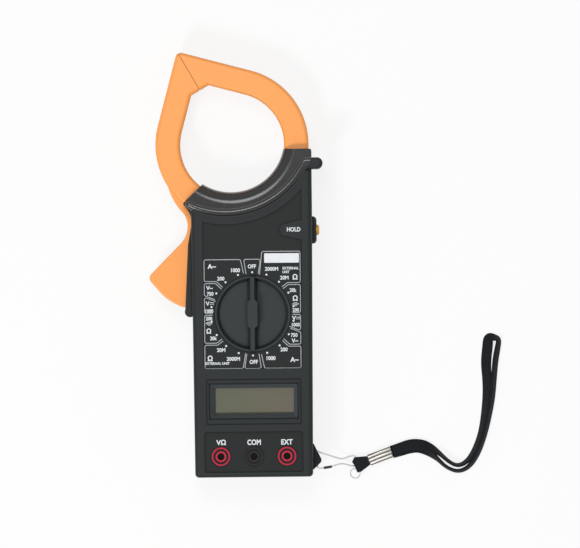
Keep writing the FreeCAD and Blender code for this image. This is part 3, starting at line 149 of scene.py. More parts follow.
RING_TILT = math.radians(20)
LATCH = [(0.0391, -0.0871, 0.0109), (0.0412, -0.0869, 0.0101), (0.0434, -0.0865, 0.0091)]
LATCH_SIZE = 1.5 * MM

# Lamps over the meter: name, place, size in metres, share of the key power. They aim at AIM.
LAMPS = (("key_lamp", (-0.5, -0.7, 1.15), 0.3, 0.72),
         ("top_lamp", (-0.1, 0.5, 1.3), 0.55, 0.42))
AIM = Vector((0.02, 0.02, 0.02))
FLOOR_REACH = 4.0


def srgb(red, green, blue):
    """Linear colour of a display colour given from 0 to 255."""
    def linear(value):
        part = value / 255
        return part / 12.92 if part <= 0.04045 else ((part + 0.055) / 1.055) ** 2.4
    return (linear(red), linear(green), linear(blue))


def colour_choice(name, description, default):
    return bpy.props.FloatVectorProperty(
        name=name, description=description, subtype="COLOR", size=3, min=0, max=1,
        default=default)


def length_choice(name, description, default):
    return bpy.props.FloatProperty(
        name=name, description=description, default=default, min=0, unit="LENGTH",
        precision=5)


class HousingSettings(bpy.types.PropertyGroup):
    case: colour_choice("Case", "Colour of the moulded case", srgb(32, 36, 37))
    panel: colour_choice("Panels", "Colour of the sunk panel faces", srgb(22, 26, 26))
    collar: colour_choice("Collar", "Colour of the glossy collar", srgb(16, 18, 20))
    knob: colour_choice("Selector", "Colour of the selector knob", srgb(44, 50, 50))
    jaw: colour_choice("Jaws", "Colour of the jaw shells and trigger", srgb(250, 160, 78))
    button: colour_choice("Button", "Colour of the HOLD button", srgb(220, 165, 45))
    jack: colour_choice("Signal jacks", "Colour of the two outer jack inserts",
                        srgb(176, 30, 58))
    grain: length_choice("Grain", "Size of the mould texture's grain", 0.35 * MM)


class PrintSettings(bpy.types.PropertyGroup):
    ink: colour_choice("Ink", "Colour of the printed words", srgb(222, 228, 232))
    line: colour_choice("Lines", "Colour of the sector lines", srgb(178, 183, 186))
    line_width: length_choice("Line width", "Width of the sector lines", 0.42 * MM)
    corner: length_choice("Corner", "Rounding of the sector lines' corners", 1.0 * MM)
    film: length_choice("Film", "Thickness of the printed ink", 0.04 * MM)
    dot_circle: length_choice("Dot circle", "Radius of the circle of dots", 23.3 * MM)
    dot: length_choice("Dot", "Radius of one dot", 0.55 * MM)


class StrapSettings(bpy.types.PropertyGroup):
    colour: colour_choice("Fabric", "Colour of the webbing", srgb(17, 20, 24))
    width: length_choice("Width", "Width of the webbing", 6.2 * MM)
    thickness: length_choice("Thickness", "Thickness of one layer", 1.3 * MM)
    thread: length_choice("Thread", "Pitch of the weave", 0.55 * MM)


class StudioSettings(bpy.types.PropertyGroup):
    height: length_choice("Camera height", "Height of the camera over the panel", 5.0)
    width: length_choice("Field", "Width of the view at the panel", 0.3248)
    centre: bpy.props.FloatVectorProperty(
        name="Centre", description="Point of the panel at the view's middle", size=2,
        subtype="XYZ", unit="LENGTH", default=(0.0212, 0.0221))
    roll: bpy.props.FloatProperty(
        name="Roll", description="Turn of the camera about its line of sight",
        subtype="ANGLE", default=math.radians(-0.6))
    key: bpy.props.FloatProperty(
        name="Key light", description="Power of which each lamp takes its share", default=13,
        min=0, unit="POWER")
    fill: bpy.props.FloatProperty(
        name="Fill", description="Strength of the even light from all around",
        default=0.42, min=0)


SETTINGS = {"meter_housing": HousingSettings, "meter_print": PrintSettings,
            "meter_strap": StrapSettings, "meter_studio": StudioSettings}


# ---------------------------------------------------------------- finishes

def add_node(tree, kind, wires=(), settings=()):
    """Add a node to a tree; wires are (input, value or socket) pairs."""
    node = tree.nodes.new(kind)
    for name, value in dict(settings).items():
        setattr(node, name, value)
    for key, value in wires:
        if isinstance(value, bpy.types.NodeSocket):
            tree.links.new(value, node.inputs[key])
        else:
            node.inputs[key].default_value = value
    return node


class Finish:
    """One material: a Principled shader, and the nodes that feed it."""

    def __init__(self, name, colour, roughness=0.5, **sockets):
        self.material = bpy.data.materials.new(name)
        self.material.use_nodes = True
        self.tree = self.material.node_tree
        self.shader = self.tree.nodes["Principled BSDF"]
        self.colour = (*colour, 1)
        self.set("Base Color", self.colour)
        self.set("Roughness", roughness)
        for label, value in sockets.items():
            self.set(label.replace("_", " ").title().replace("Ior", "IOR"), value)

    def set(self, label, value):
        if isinstance(value, bpy.types.NodeSocket):
            self.tree.links.new(value, self.shader.inputs[label])
        else:
            self.shader.inputs[label].default_value = value

    def source(self, label):
        """The socket that feeds this input of the shader so far."""
        return self.shader.inputs[label].links[0].from_socket

    def paint_crease_shade(self, reach, least=0.25, depth=1.5):
        """Paint shade into the base colour in creases and at the feet of walls, from an ambient
        occlusion node.
        """
        shut = self.node("AmbientOcclusion", ("Distance", reach), samples=8).outputs["AO"]
        shade = self.between(self.math("POWER", shut, depth), least, 1.0)
        dark = self.node("VectorMath", (0, self.source("Base Color")), ("Scale", shade),
                         operation="SCALE")
        self.set("Base Color", dark.outputs[0])

    def part(self, axis):
        """One coordinate of the object, in metres."""
        return self.node("SeparateXYZ", ("Vector", self.place())).outputs["XYZ".index(axis)]

    def node(self, kind, *wires, **settings):
        return add_node(self.tree, "ShaderNode" + kind, wires, settings)

    def place(self):
        return self.node("TexCoord").outputs["Object"]

    def noise(self, size, detail=2.0, stretch=(1, 1, 1), where=None):
        """Noise whose features are about size metres across, drawn out along an axis."""
        vector = where or self.place()
        if stretch != (1, 1, 1):
            shrink = [1 / part for part in stretch]
            vector = self.node("Mapping", ("Vector", vector), ("Scale", shrink)).outputs[0]
        return self.node("TexNoise", ("Vector", vector), ("Scale", 1 / size),
                         ("Detail", detail)).outputs["Fac"]

    def math(self, operation, first, second=0.0, clamp=False):
        return self.node("Math", (0, first), (1, second), operation=operation,
                         use_clamp=clamp).outputs[0]

    def between(self, factor, low, high):
        """Value that goes from low to high as factor goes from 0 to 1."""
        return self.node("MapRange", ("Value", factor), ("To Min", low),
                         ("To Max", high)).outputs["Result"]

    def step(self, value, start, end):
        """0 below start and 1 above end."""
        return self.node("MapRange", ("Value", value), ("From Min", start), ("From Max", end),
                         interpolation_type="SMOOTHSTEP").outputs["Result"]

    def mix(self, factor, first, second):
        """Colour that goes from first to second as factor goes from 0 to 1."""
        return self.node("Mix", (0, factor), (6, first), (7, second),
                         data_type="RGBA").outputs[2]

    def tint(self, factor, amount):
        """The base colour, lighter and darker by amount as factor varies about 0.5."""
        dark = [part * (1 - amount) for part in self.colour[:3]] + [1]
        light = [min(1, part * (1 + amount)) for part in self.colour[:3]] + [1]
        return self.mix(factor, dark, light)

    def bump(self, height, distance, strength=1.0):
        node = self.node("Bump", ("Height", height), ("Distance", distance),
                         ("Strength", strength))
        self.set("Normal", node.outputs["Normal"])


def moulded(name, colour, roughness=0.5, grain=0.35 * MM, relief=0.012 * MM, mottle=0.06,
            **sockets):
    """Moulded plastic: a fine even spark texture and slight handling marks."""
    finish = Finish(name, colour, roughness, **sockets)
    cloud = finish.noise(14 * MM, 3)
    finish.set("Base Color", finish.tint(cloud, mottle))
    finish.set("Roughness", finish.between(cloud, roughness - 0.05, roughness + 0.07))
    finish.bump(finish.noise(grain, 3), relief)
    return finish


def metal(name, colour, roughness=0.3, grain=0.25 * MM, drawn=(1, 1, 1),
          relief=0.004 * MM):
    """Metal with fine draw marks and slightly uneven polish."""
    finish = Finish(name, colour, roughness, metallic=1.0)
    marks = finish.noise(grain, 4, drawn)
    finish.set("Roughness", finish.between(marks, roughness - 0.08, roughness + 0.12))
    finish.set("Base Color", finish.tint(finish.noise(4 * MM, 2), 0.08))
    if relief:
        finish.bump(marks, relief)
    return finish


def dress(finish, *nodes):
    """Give CAD nodes this finish."""
    for name in nodes:
        for slot in bpy.data.objects[name].material_slots:
            slot.link = "OBJECT"
            slot.material = finish.material


def cover(piece, finish, body):
    """Finish a new piece and let it ride on its body."""
    piece.data.materials.clear()
    piece.data.materials.append(finish.material)
    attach(piece, body)
    return piece


def link(name, data):
    piece = bpy.data.objects.new(name, data)
    bpy.context.scene.collection.objects.link(piece)
    return piece


def mesh_of(piece):
    """Turn a piece into its evaluated mesh and remove the piece."""
    graph = bpy.context.evaluated_depsgraph_get()
    mesh = bpy.data.meshes.new_from_object(piece.evaluated_get(graph), depsgraph=graph)
    bpy.data.objects.remove(piece)
    return mesh


def mesh_from(name, shape):
    """Mesh of a BMesh, which is freed."""
    mesh = bpy.data.meshes.new(name)
    shape.to_mesh(mesh)
    shape.free()
    return mesh


def closed_mesh(name, shape):
    """Mesh of a closed BMesh, with its faces turned outwards."""
    bmesh.ops.recalc_face_normals(shape, faces=shape.faces)
    return mesh_from(name, shape)


def bridge(shape, near, far):
    """Faces between two closed rings of as many corners."""
    faces = []
    for index, corner in enumerate(near):
        after = (index + 1) % len(near)
        faces.append(shape.faces.new((corner, near[after], far[after], far[index])))
    return faces


def lines_mesh(name, lines, level):
    """Open lines in millimetres as a mesh of edges at one level."""
    mesh = bpy.data.meshes.new(name)
    spots, edges = [], []
    for line in lines:
        first = len(spots)
        spots += [(x * MM, y * MM, level) for x, y in line]
        edges += [(index, index + 1) for index in range(first, len(spots) - 1)]
    mesh.from_pydata(spots, edges, [])
    return mesh


def half_turned(line):
    return [(-x, -y) for x, y in line]


class Growth:
    """A geometry node tree with named inputs, applied to a mesh."""

    kinds = {float: "NodeSocketFloat", int: "NodeSocketInt",
             bpy.types.Material: "NodeSocketMaterial"}

    def __init__(self, name, **inputs):
        self.tree = bpy.data.node_groups.new(name, "GeometryNodeTree")
        face = self.tree.interface
        face.new_socket("Geometry", in_out="INPUT", socket_type="NodeSocketGeometry")
        face.new_socket("Geometry", in_out="OUTPUT", socket_type="NodeSocketGeometry")
        self.values = {}
        for key, value in inputs.items():
            socket = face.new_socket(key.replace("_", " ").capitalize(), in_out="INPUT",
                                     socket_type=self.kinds[type(value)])
            self.values[socket.identifier] = value
        self.inlet = self.tree.nodes.new("NodeGroupInput")
        self.outlet = self.tree.nodes.new("NodeGroupOutput")

    def input(self, label):
        return self.inlet.outputs[label]

    def node(self, kind, *wires, **settings):
        return add_node(self.tree, "GeometryNode" + kind, wires, settings)

    def grow(self, name, base, shape):
        """Realise the shape, give it the tree's material and return it as a plain piece."""
        real = self.node("RealizeInstances", ("Geometry", shape.outputs[0]))
        done = self.node("SetMaterial", ("Geometry", real.outputs[0]),
                         ("Material", self.input("Material")))
        self.tree.links.new(done.outputs[0], self.outlet.inputs[0])
        piece = link(name + "_base", base)
        modifier = piece.modifiers.new(self.tree.name, "NODES")
        modifier.node_group = self.tree
        for identifier, value in self.values.items():
            modifier[identifier] = value
        return link(name, mesh_of(piece))


# ---------------------------------------------------------------- studio

class METER_OT_camera(bpy.types.Operator):
    """Stand the camera over the meter"""
    bl_idname = "meter.camera"
    bl_label = "Camera"

    def execute(self, context):
        studio = context.scene.meter_studio
        lens = bpy.data.cameras.new("camera")
        lens.sensor_fit = "HORIZONTAL"
        lens.lens = lens.sensor_width * studio.height / studio.width
        lens.clip_start = 0.05
        lens.clip_end = 2 * studio.height
        camera = link("camera", lens)
        camera.location = (*studio.centre, PANEL_LEVEL + studio.height)
        camera.rotation_euler = (0, 0, studio.roll)
        context.scene.camera = camera
        return {"FINISHED"}


def show_white(tree, surface, output, lit):
    """Show plain white to the camera and in reflections, mixed over a lit surface by lit."""
    path = add_node(tree, "ShaderNodeLightPath").outputs
    seen = path["Is Camera Ray"]
    for label in ("Is Glossy Ray", "Is Transmission Ray"):
        seen = add_node(tree, "ShaderNodeMath", ((0, seen), (1, path[label])),
                        {"operation": "MAXIMUM"}).outputs[0]
    share = add_node(tree, "ShaderNodeMath", ((0, seen), (1, 1 - lit)),
                     {"operation": "MULTIPLY"})
    kind = "Background" if surface.type == "BACKGROUND" else "Emission"
    white = add_node(tree, "ShaderNode" + kind, (("Color", (1, 1, 1, 1)), ("Strength", 1)))
    blend = add_node(tree, "ShaderNodeMixShader", (
        (0, share.outputs[0]), (1, surface.outputs[0]), (2, white.outputs[0])))
    tree.links.new(blend.outputs[0], output.inputs["Surface"])


class METER_OT_stage(bpy.types.Operator):
    """Lay the pale floor and set the soft lights"""
    bl_idname = "meter.stage"
    bl_label = "Floor and lights"

    def execute(self, context):
        studio = context.scene.meter_studio
        context.scene.view_settings.view_transform = "Standard"
        floor_mesh = bpy.data.meshes.new("floor")
        level = FRAME_BOX[0][2] - 0.05 * MM
        floor_mesh.from_pydata([(x * FLOOR_REACH, y * FLOOR_REACH, level)
                                for x, y in ((-1, -1), (1, -1), (1, 1), (-1, 1))],
                               [], [(0, 1, 2, 3)])
        floor = link("floor", floor_mesh)
        pale = Finish("floor_paper", (0.86, 0.86, 0.86), 0.9, specular_ior_level=0.1)
        show_white(pale.tree, pale.shader, pale.tree.nodes["Material Output"], 0.16)
        floor_mesh.materials.append(pale.material)

        world = bpy.data.worlds.new("studio")
        context.scene.world = world
        world.use_nodes = True
        air = world.node_tree.nodes["Background"]
        air.inputs["Color"].default_value = (1, 1, 1, 1)
        air.inputs["Strength"].default_value = studio.fill
        show_white(world.node_tree, air, world.node_tree.nodes["World Output"], 0)

        for name, place, size, share in LAMPS:
            data = bpy.data.lights.new(name, "AREA")
            data.shape = "DISK"
            data.size = size
            data.energy = studio.key * share
            lamp = link(name, data)
            lamp.location = place
            way = AIM - Vector(place)
            lamp.rotation_euler = way.to_track_quat("-Z", "Y").to_euler()
        return {"FINISHED"}


# ---------------------------------------------------------------- strap

def nurbs_line(name, points):
    """Points along the smooth line of a spline with these control points."""
    curve = bpy.data.curves.new(name, "CURVE")
    curve.dimensions = "3D"
    curve.resolution_u = 8
    spline = curve.splines.new("NURBS")
    spline.points.add(len(points) - 1)
    for point, place in zip(spline.points, points):
        point.co = (*place, 1)
    spline.order_u = 3
    spline.use_endpoint_u = True
    line = link(name, curve)
    mesh = bpy.data.meshes.new_from_object(line)
    found = [vertex.co.copy() for vertex in mesh.vertices]
    bpy.data.objects.remove(line)
    bpy.data.meshes.remove(mesh)
    return found


def band_section(width, thickness, rounding=0.45):
    """Outline of a band with round edges, along its width and thickness."""
    corner = thickness * rounding
    outline = []
    for quarter in range(4):
        side_w = 1 if quarter in (0, 3) else -1
        side_t = 1 if quarter in (0, 1) else -1
        for step in range(4):
            angle = math.radians(90 * quarter + 30 * step)
            outline.append((side_w * (width / 2 - corner) + corner * math.cos(angle),
                            side_t * (thickness / 2 - corner) + corner * math.sin(angle)))
    return outline


def swept_band(name, line, turns, width, thickness):
    """Band along a line, turned about it, with a UV map in metres."""
    shape = bmesh.new()
    uv = shape.loops.layers.uv.new("UVMap")
    section = band_section(width, thickness)
    rings = []
    reached = [0.0]
    for index, place in enumerate(line):
        ahead = line[min(index + 1, len(line) - 1)]
        behind = line[max(index - 1, 0)]
        forward = (ahead - behind).normalized()
        side = forward.cross(Vector((0, 0, 1))).normalized()
        rise = side.cross(forward)
        turn = math.radians(turns[index])
        across = rise * math.cos(turn) + side * math.sin(turn)
        through = side * math.cos(turn) - rise * math.sin(turn)
        rings.append([shape.verts.new(place + across * a + through * b) for a, b in section])
        if index:
            reached.append(reached[-1] + (place - line[index - 1]).length)
    around = [0.0]
    for (a, b), (c, d) in zip(section, section[1:] + section[:1]):
        around.append(around[-1] + math.hypot(c - a, d - b))
    for index, (near, far) in enumerate(zip(rings, rings[1:])):
        for corner, face in enumerate(bridge(shape, near, far)):
            face.smooth = True
            spots = ((index, corner), (index, corner + 1), (index + 1, corner + 1),
                     (index + 1, corner))
            for loop, (along, step) in zip(face.loops, spots):
                loop[uv].uv = (reached[along], around[step])
    shape.faces.new(rings[0])
    shape.faces.new(list(reversed(rings[-1])))
    return closed_mesh(name, shape)


def ridged_sleeve(name, start, end, width, foot, top):
    """Pressed metal sleeve with three round-backed ridges along its top."""
    depth, round_off, steps = 0.75 * MM, 0.9 * MM, 36
    arc = 0.96      # a ridge's back is most of a half ellipse; 1 would be all of it
    section = []
    for index in range(steps + 1):
        across = width / 2 - width * index / steps
        from_ridge = (across / RIDGE_PITCH + 0.5) % 1 - 0.5
        back = math.sqrt(max(0.0, 1 - (2 * from_ridge) ** 2 * arc))
        from_edge = width / 2 - abs(across)
        fall = max(0.0, 1 - from_edge / round_off)
        section.append((across, top - depth * (1 - back) - 0.5 * round_off * fall ** 2))
    corner = []
    for angle in (0, 22.5, 45, 67.5, 90):
        turn = math.radians(angle)
        corner.append((-width / 2 + round_off * (1 - math.cos(turn)),
                       foot + round_off * (1 - math.sin(turn))))
    section += corner + [(-across, height) for across, height in reversed(corner)]
    forward = (end - start).normalized()
    side = Vector((-forward.y, forward.x, 0))
    middle = (foot + top) / 2
    length = (end - start).length
    shape = bmesh.new()
    rings = []
    lip = 0.3 * MM
    for along, shrink in ((lip / 2, 0.9), (0, 0.95), (lip, 1), (length - lip, 1),
                          (length, 0.95), (length - lip / 2, 0.9)):
        rings.append([shape.verts.new(start + forward * along + side * across * shrink
                                      + Vector((0, 0, middle + (height - middle) * shrink)))
                      for across, height in section])
    for near, far in zip(rings, rings[1:]):
        for face in bridge(shape, near, far):
            face.smooth = True
    shape.faces.new(rings[0])
    shape.faces.new(list(reversed(rings[-1])))
    return closed_mesh(name, shape)


def seam_shade_lip(name):
    """Thin rim on the moving jaw's wall that closes the slit at the jaws' tip; a dark sheet that
    carries the slit's painted shade.
    """
    out = Vector((math.cos(JAW_LEAN), math.sin(JAW_LEAN), 0))
    side = Vector((-out.y, out.x, 0))
    low, high = SEAM_LEVELS
    foot, top = SEAM_REACH
    corner, wall, ease = 2.1 * MM, 2.2 * MM, 0.1 * MM
    seat, edge, face = SLIT / 2, -0.09 * MM, -0.12 * MM
    shape = bmesh.new()

    def loop(inset, shift):
        """Eight-cornered outline, drawn in by inset, at shift from the slit's middle."""
        left, right, base, roof = foot + inset, top - inset, low + inset, high - inset
        cut = corner - 0.6 * inset
        spots = ((left + cut, base), (right - cut, base), (right, base + cut),
                 (right, roof - cut), (right - cut, roof), (left + cut, roof),
                 (left, roof - cut), (left, base + cut))
        return [shape.verts.new(JAW_CENTRE + out * reach + side * shift
                                + Vector((0, 0, rise))) for reach, rise in spots]

    loops = [loop(0, seat), loop(0, edge), loop(ease, face), loop(wall - ease, face),
             loop(wall, edge), loop(wall, seat)]
    for here, beyond in zip(loops, loops[1:] + loops[:1]):
        bridge(shape, here, beyond)
    return closed_mesh(name, shape)


def coiled_ring(name, node):
    """Split ring of two turns of wire, tilted in the box of its CAD node."""
    low, high = (Vector(corner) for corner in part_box(node))
    middle = (low + high) / 2
    tilt = Matrix.Rotation(RING_TILT, 3, Vector((1, -1, 0)))
    steps, start, pitch = 72, 200, RING_WIRE / 4
    line = []
    for step in range(steps + 1):
        angle = math.radians(start + 2 * 360 * step / steps)
        layer = 2 * pitch * (step / steps - 0.5)
        line.append(middle + tilt @ Vector((RING_RADIUS * math.cos(angle),
                                            RING_RADIUS * math.sin(angle), layer)))
    return swept_band(name, line, [0] * len(line), RING_WIRE, RING_WIRE)


def woven(name, colour, thread):
    """Plain-weave nylon webbing: threads over and under, read from the UV map."""
    finish = Finish(name, colour, 0.7, specular_ior_level=0.15)
    where = finish.node("UVMap").outputs["UV"]
    parts = finish.node("SeparateXYZ", ("Vector", where))
    turns = 2 * math.pi / thread
    along = finish.math("SINE", finish.math("MULTIPLY", parts.outputs["X"], turns))
    across = finish.math("SINE", finish.math("MULTIPLY", parts.outputs["Y"], turns))
    weave = finish.math("MULTIPLY", along, across)
    height = finish.math("ADD", finish.math("MULTIPLY", weave, 0.5), 0.5)
    fuzz = finish.noise(0.3 * MM, 3)
    blend = finish.math("ADD", finish.math("MULTIPLY", height, 0.8),
                        finish.math("MULTIPLY", fuzz, 0.2))
    finish.set("Base Color", finish.tint(blend, 0.35))
    finish.bump(blend, 0.12 * MM)
    return finish


def nickel_with_groove_shade(start, end):
    """Nickel of the ferrule: bright on the ridges' backs, with painted shade darkening the
    grooves.
    """
    finish = metal("ferrule_nickel", srgb(186, 182, 177), 0.35, relief=0)
    forward = (end - start).normalized()
    beside = finish.node("VectorMath", (0, finish.place()),
                         (1, (-forward.y, forward.x, 0)), operation="DOT_PRODUCT")
    middle = start.y * forward.x - start.x * forward.y
    across = finish.math("SUBTRACT", beside.outputs["Value"], middle)
    wave = finish.math("COSINE", finish.math("MULTIPLY", across, 2 * math.pi / RIDGE_PITCH))
    # Painted shade: the grooves between the ridges get a dark colour.
    ridge = finish.step(wave, -0.95, 0.1)
    finish.set("Base Color", finish.mix(ridge, (*srgb(88, 84, 80), 1),
                                        finish.source("Base Color")))
    return finish


class METER_OT_strap(bpy.types.Operator):
    """Lay the wrist strap and finish its fittings"""
    bl_idname = "meter.strap"
    bl_label = "Wrist strap"

    def execute(self, context):
        strap = context.scene.meter_strap
        line = nurbs_line("strap_line", [point[:3] for point in STRAP_ROUTE])
        turns = [place.x / MM for place in nurbs_line(
            "strap_turns", [(point[3] * MM, 0, 0) for point in STRAP_ROUTE])]
        fabric = woven("strap_weave", strap.colour, strap.thread)
        band = link("webbing_band",
                    swept_band("webbing_band", line, turns, strap.width, strap.thickness))
        cover(band, fabric, "strap")
        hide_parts("strap_webbing")
        dress(fabric, "strap_end_loop")

        sleeve = ridged_sleeve("ferrule_sleeve", *FERRULE, FERRULE_WIDTH, *FERRULE_LEVELS)
        ferrule = cover(link("ferrule_sleeve", sleeve), nickel_with_groove_shade(*FERRULE), "strap")
        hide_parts("strap_ferrule")

        dress(metal("hook_wire", srgb(200, 201, 202), 0.4, relief=0), "strap_hook")
        coil = coiled_ring("split_ring", "strap_ring")
        ring = cover(link("split_ring", coil),
                     metal("ring_nickel", srgb(150, 151, 152), 0.35, relief=0), "strap")
        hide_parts("strap_ring")

        latch_line = nurbs_line("latch_line", LATCH)
        latch = swept_band("hook_latch", latch_line, [0] * len(latch_line), LATCH_SIZE,
                           LATCH_SIZE)
        cover(link("hook_latch", latch), metal("latch_steel", srgb(62, 62, 64), 0.3),
              "strap")

        return {"FINISHED"}


# ---------------------------------------------------------------- meter

class METER_OT_housing(bpy.types.Operator):
    """Finish the case, jaws, selector, button and jacks"""
    bl_idname = "meter.housing"
    bl_label = "Housing"

    def execute(self, context):
        housing = context.scene.meter_housing
        front, rear = (moulded(name, housing.case, 0.45, housing.grain,
                               specular_ior_level=0.2)
                       for name in ("front_plastic", "rear_plastic"))
        self.shade_panels(front, housing.panel)
        for case in (front, rear):
            self.polish_collar(case, housing.collar)
            # Painted shade in the case's creases and at the feet of its walls.
            case.paint_crease_shade(1.6 * MM, least=0.1, depth=3.5)
        # Painted highlight on the display recess's sloping sides.
        self.paint_bezel_highlight(front)
        dress(front, "front_case")
        dress(rear, "rear_case", "battery_door")
        jaw = moulded("jaw_plastic", housing.jaw, 0.4, housing.grain, mottle=0.03)
        dress(jaw, "fixed_jaw_front", "fixed_jaw_rear", "moving_jaw_front", "moving_jaw_rear")
        # The lip's darker orange is painted shade in the slit between the jaws.
        cover(link("jaw_seam_lip", seam_shade_lip("jaw_seam_lip")),
              Finish("seam_shade", srgb(150, 70, 30), 0.7), "moving_jaw")
        knob = moulded("knob_plastic", housing.knob, 0.4, housing.grain,
                       specular_ior_level=0.2)
        # Painted shade in the knob's creases and at the feet of its walls.
        knob.paint_crease_shade(2.5 * MM)
        dress(knob, "selector_knob", "selector_rotor")
        dress(moulded("button_plastic", housing.button, 0.3), "hold_button")
        for name, colour, nodes in (
                ("jack_red_plastic", housing.jack, ("jack_left", "jack_right")),
                ("jack_black_plastic", srgb(14, 14, 15), ("jack_common",))):
            insert = moulded(name, colour, 0.25, specular_ior_level=0.35)
            # Painted shade: below the rim the insert is painted near-black.
            top = insert.step(insert.part("Z"), *JACK_SHADE_LEVELS)
            insert.set("Base Color", insert.mix(top, (*srgb(9, 7, 8), 1), insert.colour))
            dress(insert, *nodes)
        return {"FINISHED"}

    def polish_collar(self, finish, colour):
        """The guard rib and the collar above it are smooth and glossy."""
        off = finish.node("VectorMath", (0, finish.place()), (1, (*GUARD_CENTRE, 0)),
                          operation="SUBTRACT").outputs[0]
        flat = finish.node("VectorMath", (0, off), (1, (1, 1, 0)), operation="MULTIPLY")
        reach = finish.node("VectorMath", (0, flat.outputs[0]),
                            operation="LENGTH").outputs["Value"]
        matte = finish.step(reach, GUARD_EDGE, GUARD_EDGE + 0.5 * MM)
        glossy = finish.math("SUBTRACT", 1.0, matte)
        finish.set("Roughness", finish.math(
            "ADD", finish.math("MULTIPLY", finish.source("Roughness"), matte),
            finish.math("MULTIPLY", 0.2, glossy)))
        finish.set("Coat Weight", finish.between(matte, 0.7, 0.0))
        finish.set("Coat Roughness", 0.18)
        finish.set("Coat IOR", 1.5)
        finish.tree.links.new(finish.between(matte, 0.02, 1.0),
                              finish.source("Normal").node.inputs["Strength"])
        finish.set("Base Color", finish.mix(matte, (*colour, 1),
                                            finish.source("Base Color")))

    def paint_bezel_highlight(self, finish):
        """Painted highlight: the sloping sides of the display's recess get a lighter colour, as
        if they catch the light.
        """
        low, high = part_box("lcd_window")
        blur = 0.1 * MM
        inside = finish.step(finish.part("Z"), PANEL_LEVEL - 0.02 * MM, PANEL_LEVEL - blur)
        for axis, margin, near, far in (("X", 7 * MM, low[0], high[0]),
                                        ("Y", 6 * MM, low[1], high[1])):
            spot = finish.part(axis)
            for start, inward in ((near - margin, blur), (far + margin, -blur)):
                side = finish.step(spot, start, start + inward)
                inside = finish.math("MULTIPLY", inside, side)
        # Painted highlight colour on the recess's sloping sides.
        finish.set("Base Color", finish.mix(inside, finish.source("Base Color"),
                                            (*srgb(62, 67, 71), 1)))

    def shade_panels(self, finish, colour):
        """The sunk panel faces are darker than the case around them."""
        above = finish.step(finish.part("Z"), PANEL_LEVEL + 0.05 * MM,
                            PANEL_LEVEL + 0.25 * MM)
        under = finish.step(finish.part("Z"), PANEL_LEVEL - 0.25 * MM,
                            PANEL_LEVEL - 0.05 * MM)
        sunk = finish.math("MULTIPLY", under, finish.math("SUBTRACT", 1.0, above))
        finish.set("Base Color", finish.mix(sunk, finish.source("Base Color"),
                                            (*colour, 1)))


def level_under(x, y, node="front_case"):
    """Height of a CAD node's surface under a place given in millimetres."""
    hit, place, *_ = bpy.data.objects[node].ray_cast((x * MM, y * MM, 0.1), (0, 0, -1))
    if not hit:
        raise RuntimeError("no surface of %s under %.1f, %.1f" % (node, x, y))
    return place.z


def lettering(name, words, film, weight=0.03):
    """One mesh of words, each scaled to its height and width and set on the case."""
    shape = bmesh.new()
    for text, x, y, height, width in words:
        curve = bpy.data.curves.new(name, "FONT")
        curve.body = text
        curve.offset = weight
        curve.extrude = 0.5
        curve.resolution_u = 3
        mesh = mesh_of(link(name + "_word", curve))
        spots = [vertex.co for vertex in mesh.vertices]
        low = [min(spot[axis] for spot in spots) for axis in range(2)]
        high = [max(spot[axis] for spot in spots) for axis in range(2)]
        tall = height * MM / (high[1] - low[1])
        wide = width * MM / (high[0] - low[0]) if width else tall
        middle = [(a + b) / 2 for a, b in zip(low, high)]
        mesh.transform(Matrix.Translation((x * MM, y * MM, level_under(x, y) + film / 2))
                       @ Matrix.Diagonal((wide, tall, film, 1))
                       @ Matrix.Translation((-middle[0], -middle[1], 0)))
        shape.from_mesh(mesh)
        bpy.data.meshes.remove(mesh)
    return link(name, mesh_from(name, shape))


def printed(name, colour):
    """Screen-printed ink: slightly uneven, with a low sheen."""
    finish = Finish(name, colour, 0.5)
    finish.set("Base Color", finish.tint(finish.noise(1.5 * MM, 3), 0.1))
    finish.bump(finish.noise(0.2 * MM, 2), 0.003 * MM)
    return finish


def sign_lines():
    """Steady-current signs, a line over three dashes, and sound signs of three arcs."""
    signs = []
    for x, y in STEADY_SIGNS:
        signs.append([(x - 1.1, y + 0.45), (x + 1.1, y + 0.45)])
        signs += [[(x + shift - 0.25, y - 0.5), (x + shift + 0.25, y - 0.5)]
                  for shift in (-0.85, 0, 0.85)]
    for x, y in SOUND_SIGNS:
        signs += [[(x + radius * math.cos(math.radians(angle)),
                    y - 1.2 + radius * math.sin(math.radians(angle)))
                   for angle in range(40, 141, 20)] for radius in (0.7, 1.5, 2.3)]
    return signs


def rounded_plate(name, left, foot, right, head, corner=0.5, turns=6):
    """Thin plate with round corners and an eased top edge, in millimetres on the panel."""
    rim = []
    for quarter, (x, y, inward_x, inward_y) in enumerate((
            (right, head, -corner, -corner), (left, head, corner, -corner),
            (left, foot, corner, corner), (right, foot, -corner, corner))):
        for step in range(turns + 1):
            angle = math.radians(90 * (quarter + step / turns))
            rim.append(((x + inward_x + corner * math.cos(angle)) * MM,
                        (y + inward_y + corner * math.sin(angle)) * MM))
    middle = ((left + right) / 2 * MM, (foot + head) / 2 * MM)
    shape = bmesh.new()
    rings = []
    for inset, height in ((0, 0), (0, 0.08), (0.06, 0.1)):
        rings.append([shape.verts.new((x + math.copysign(inset * MM, middle[0] - x),
                                       y + math.copysign(inset * MM, middle[1] - y),
                                       PANEL_LEVEL + height * MM)) for x, y in rim])
    for lower, upper in zip(rings, rings[1:]):
        bridge(shape, lower, upper)
    shape.faces.new(rings[-1])
    shape.faces.new(list(reversed(rings[0])))
    return mesh_from(name, shape)


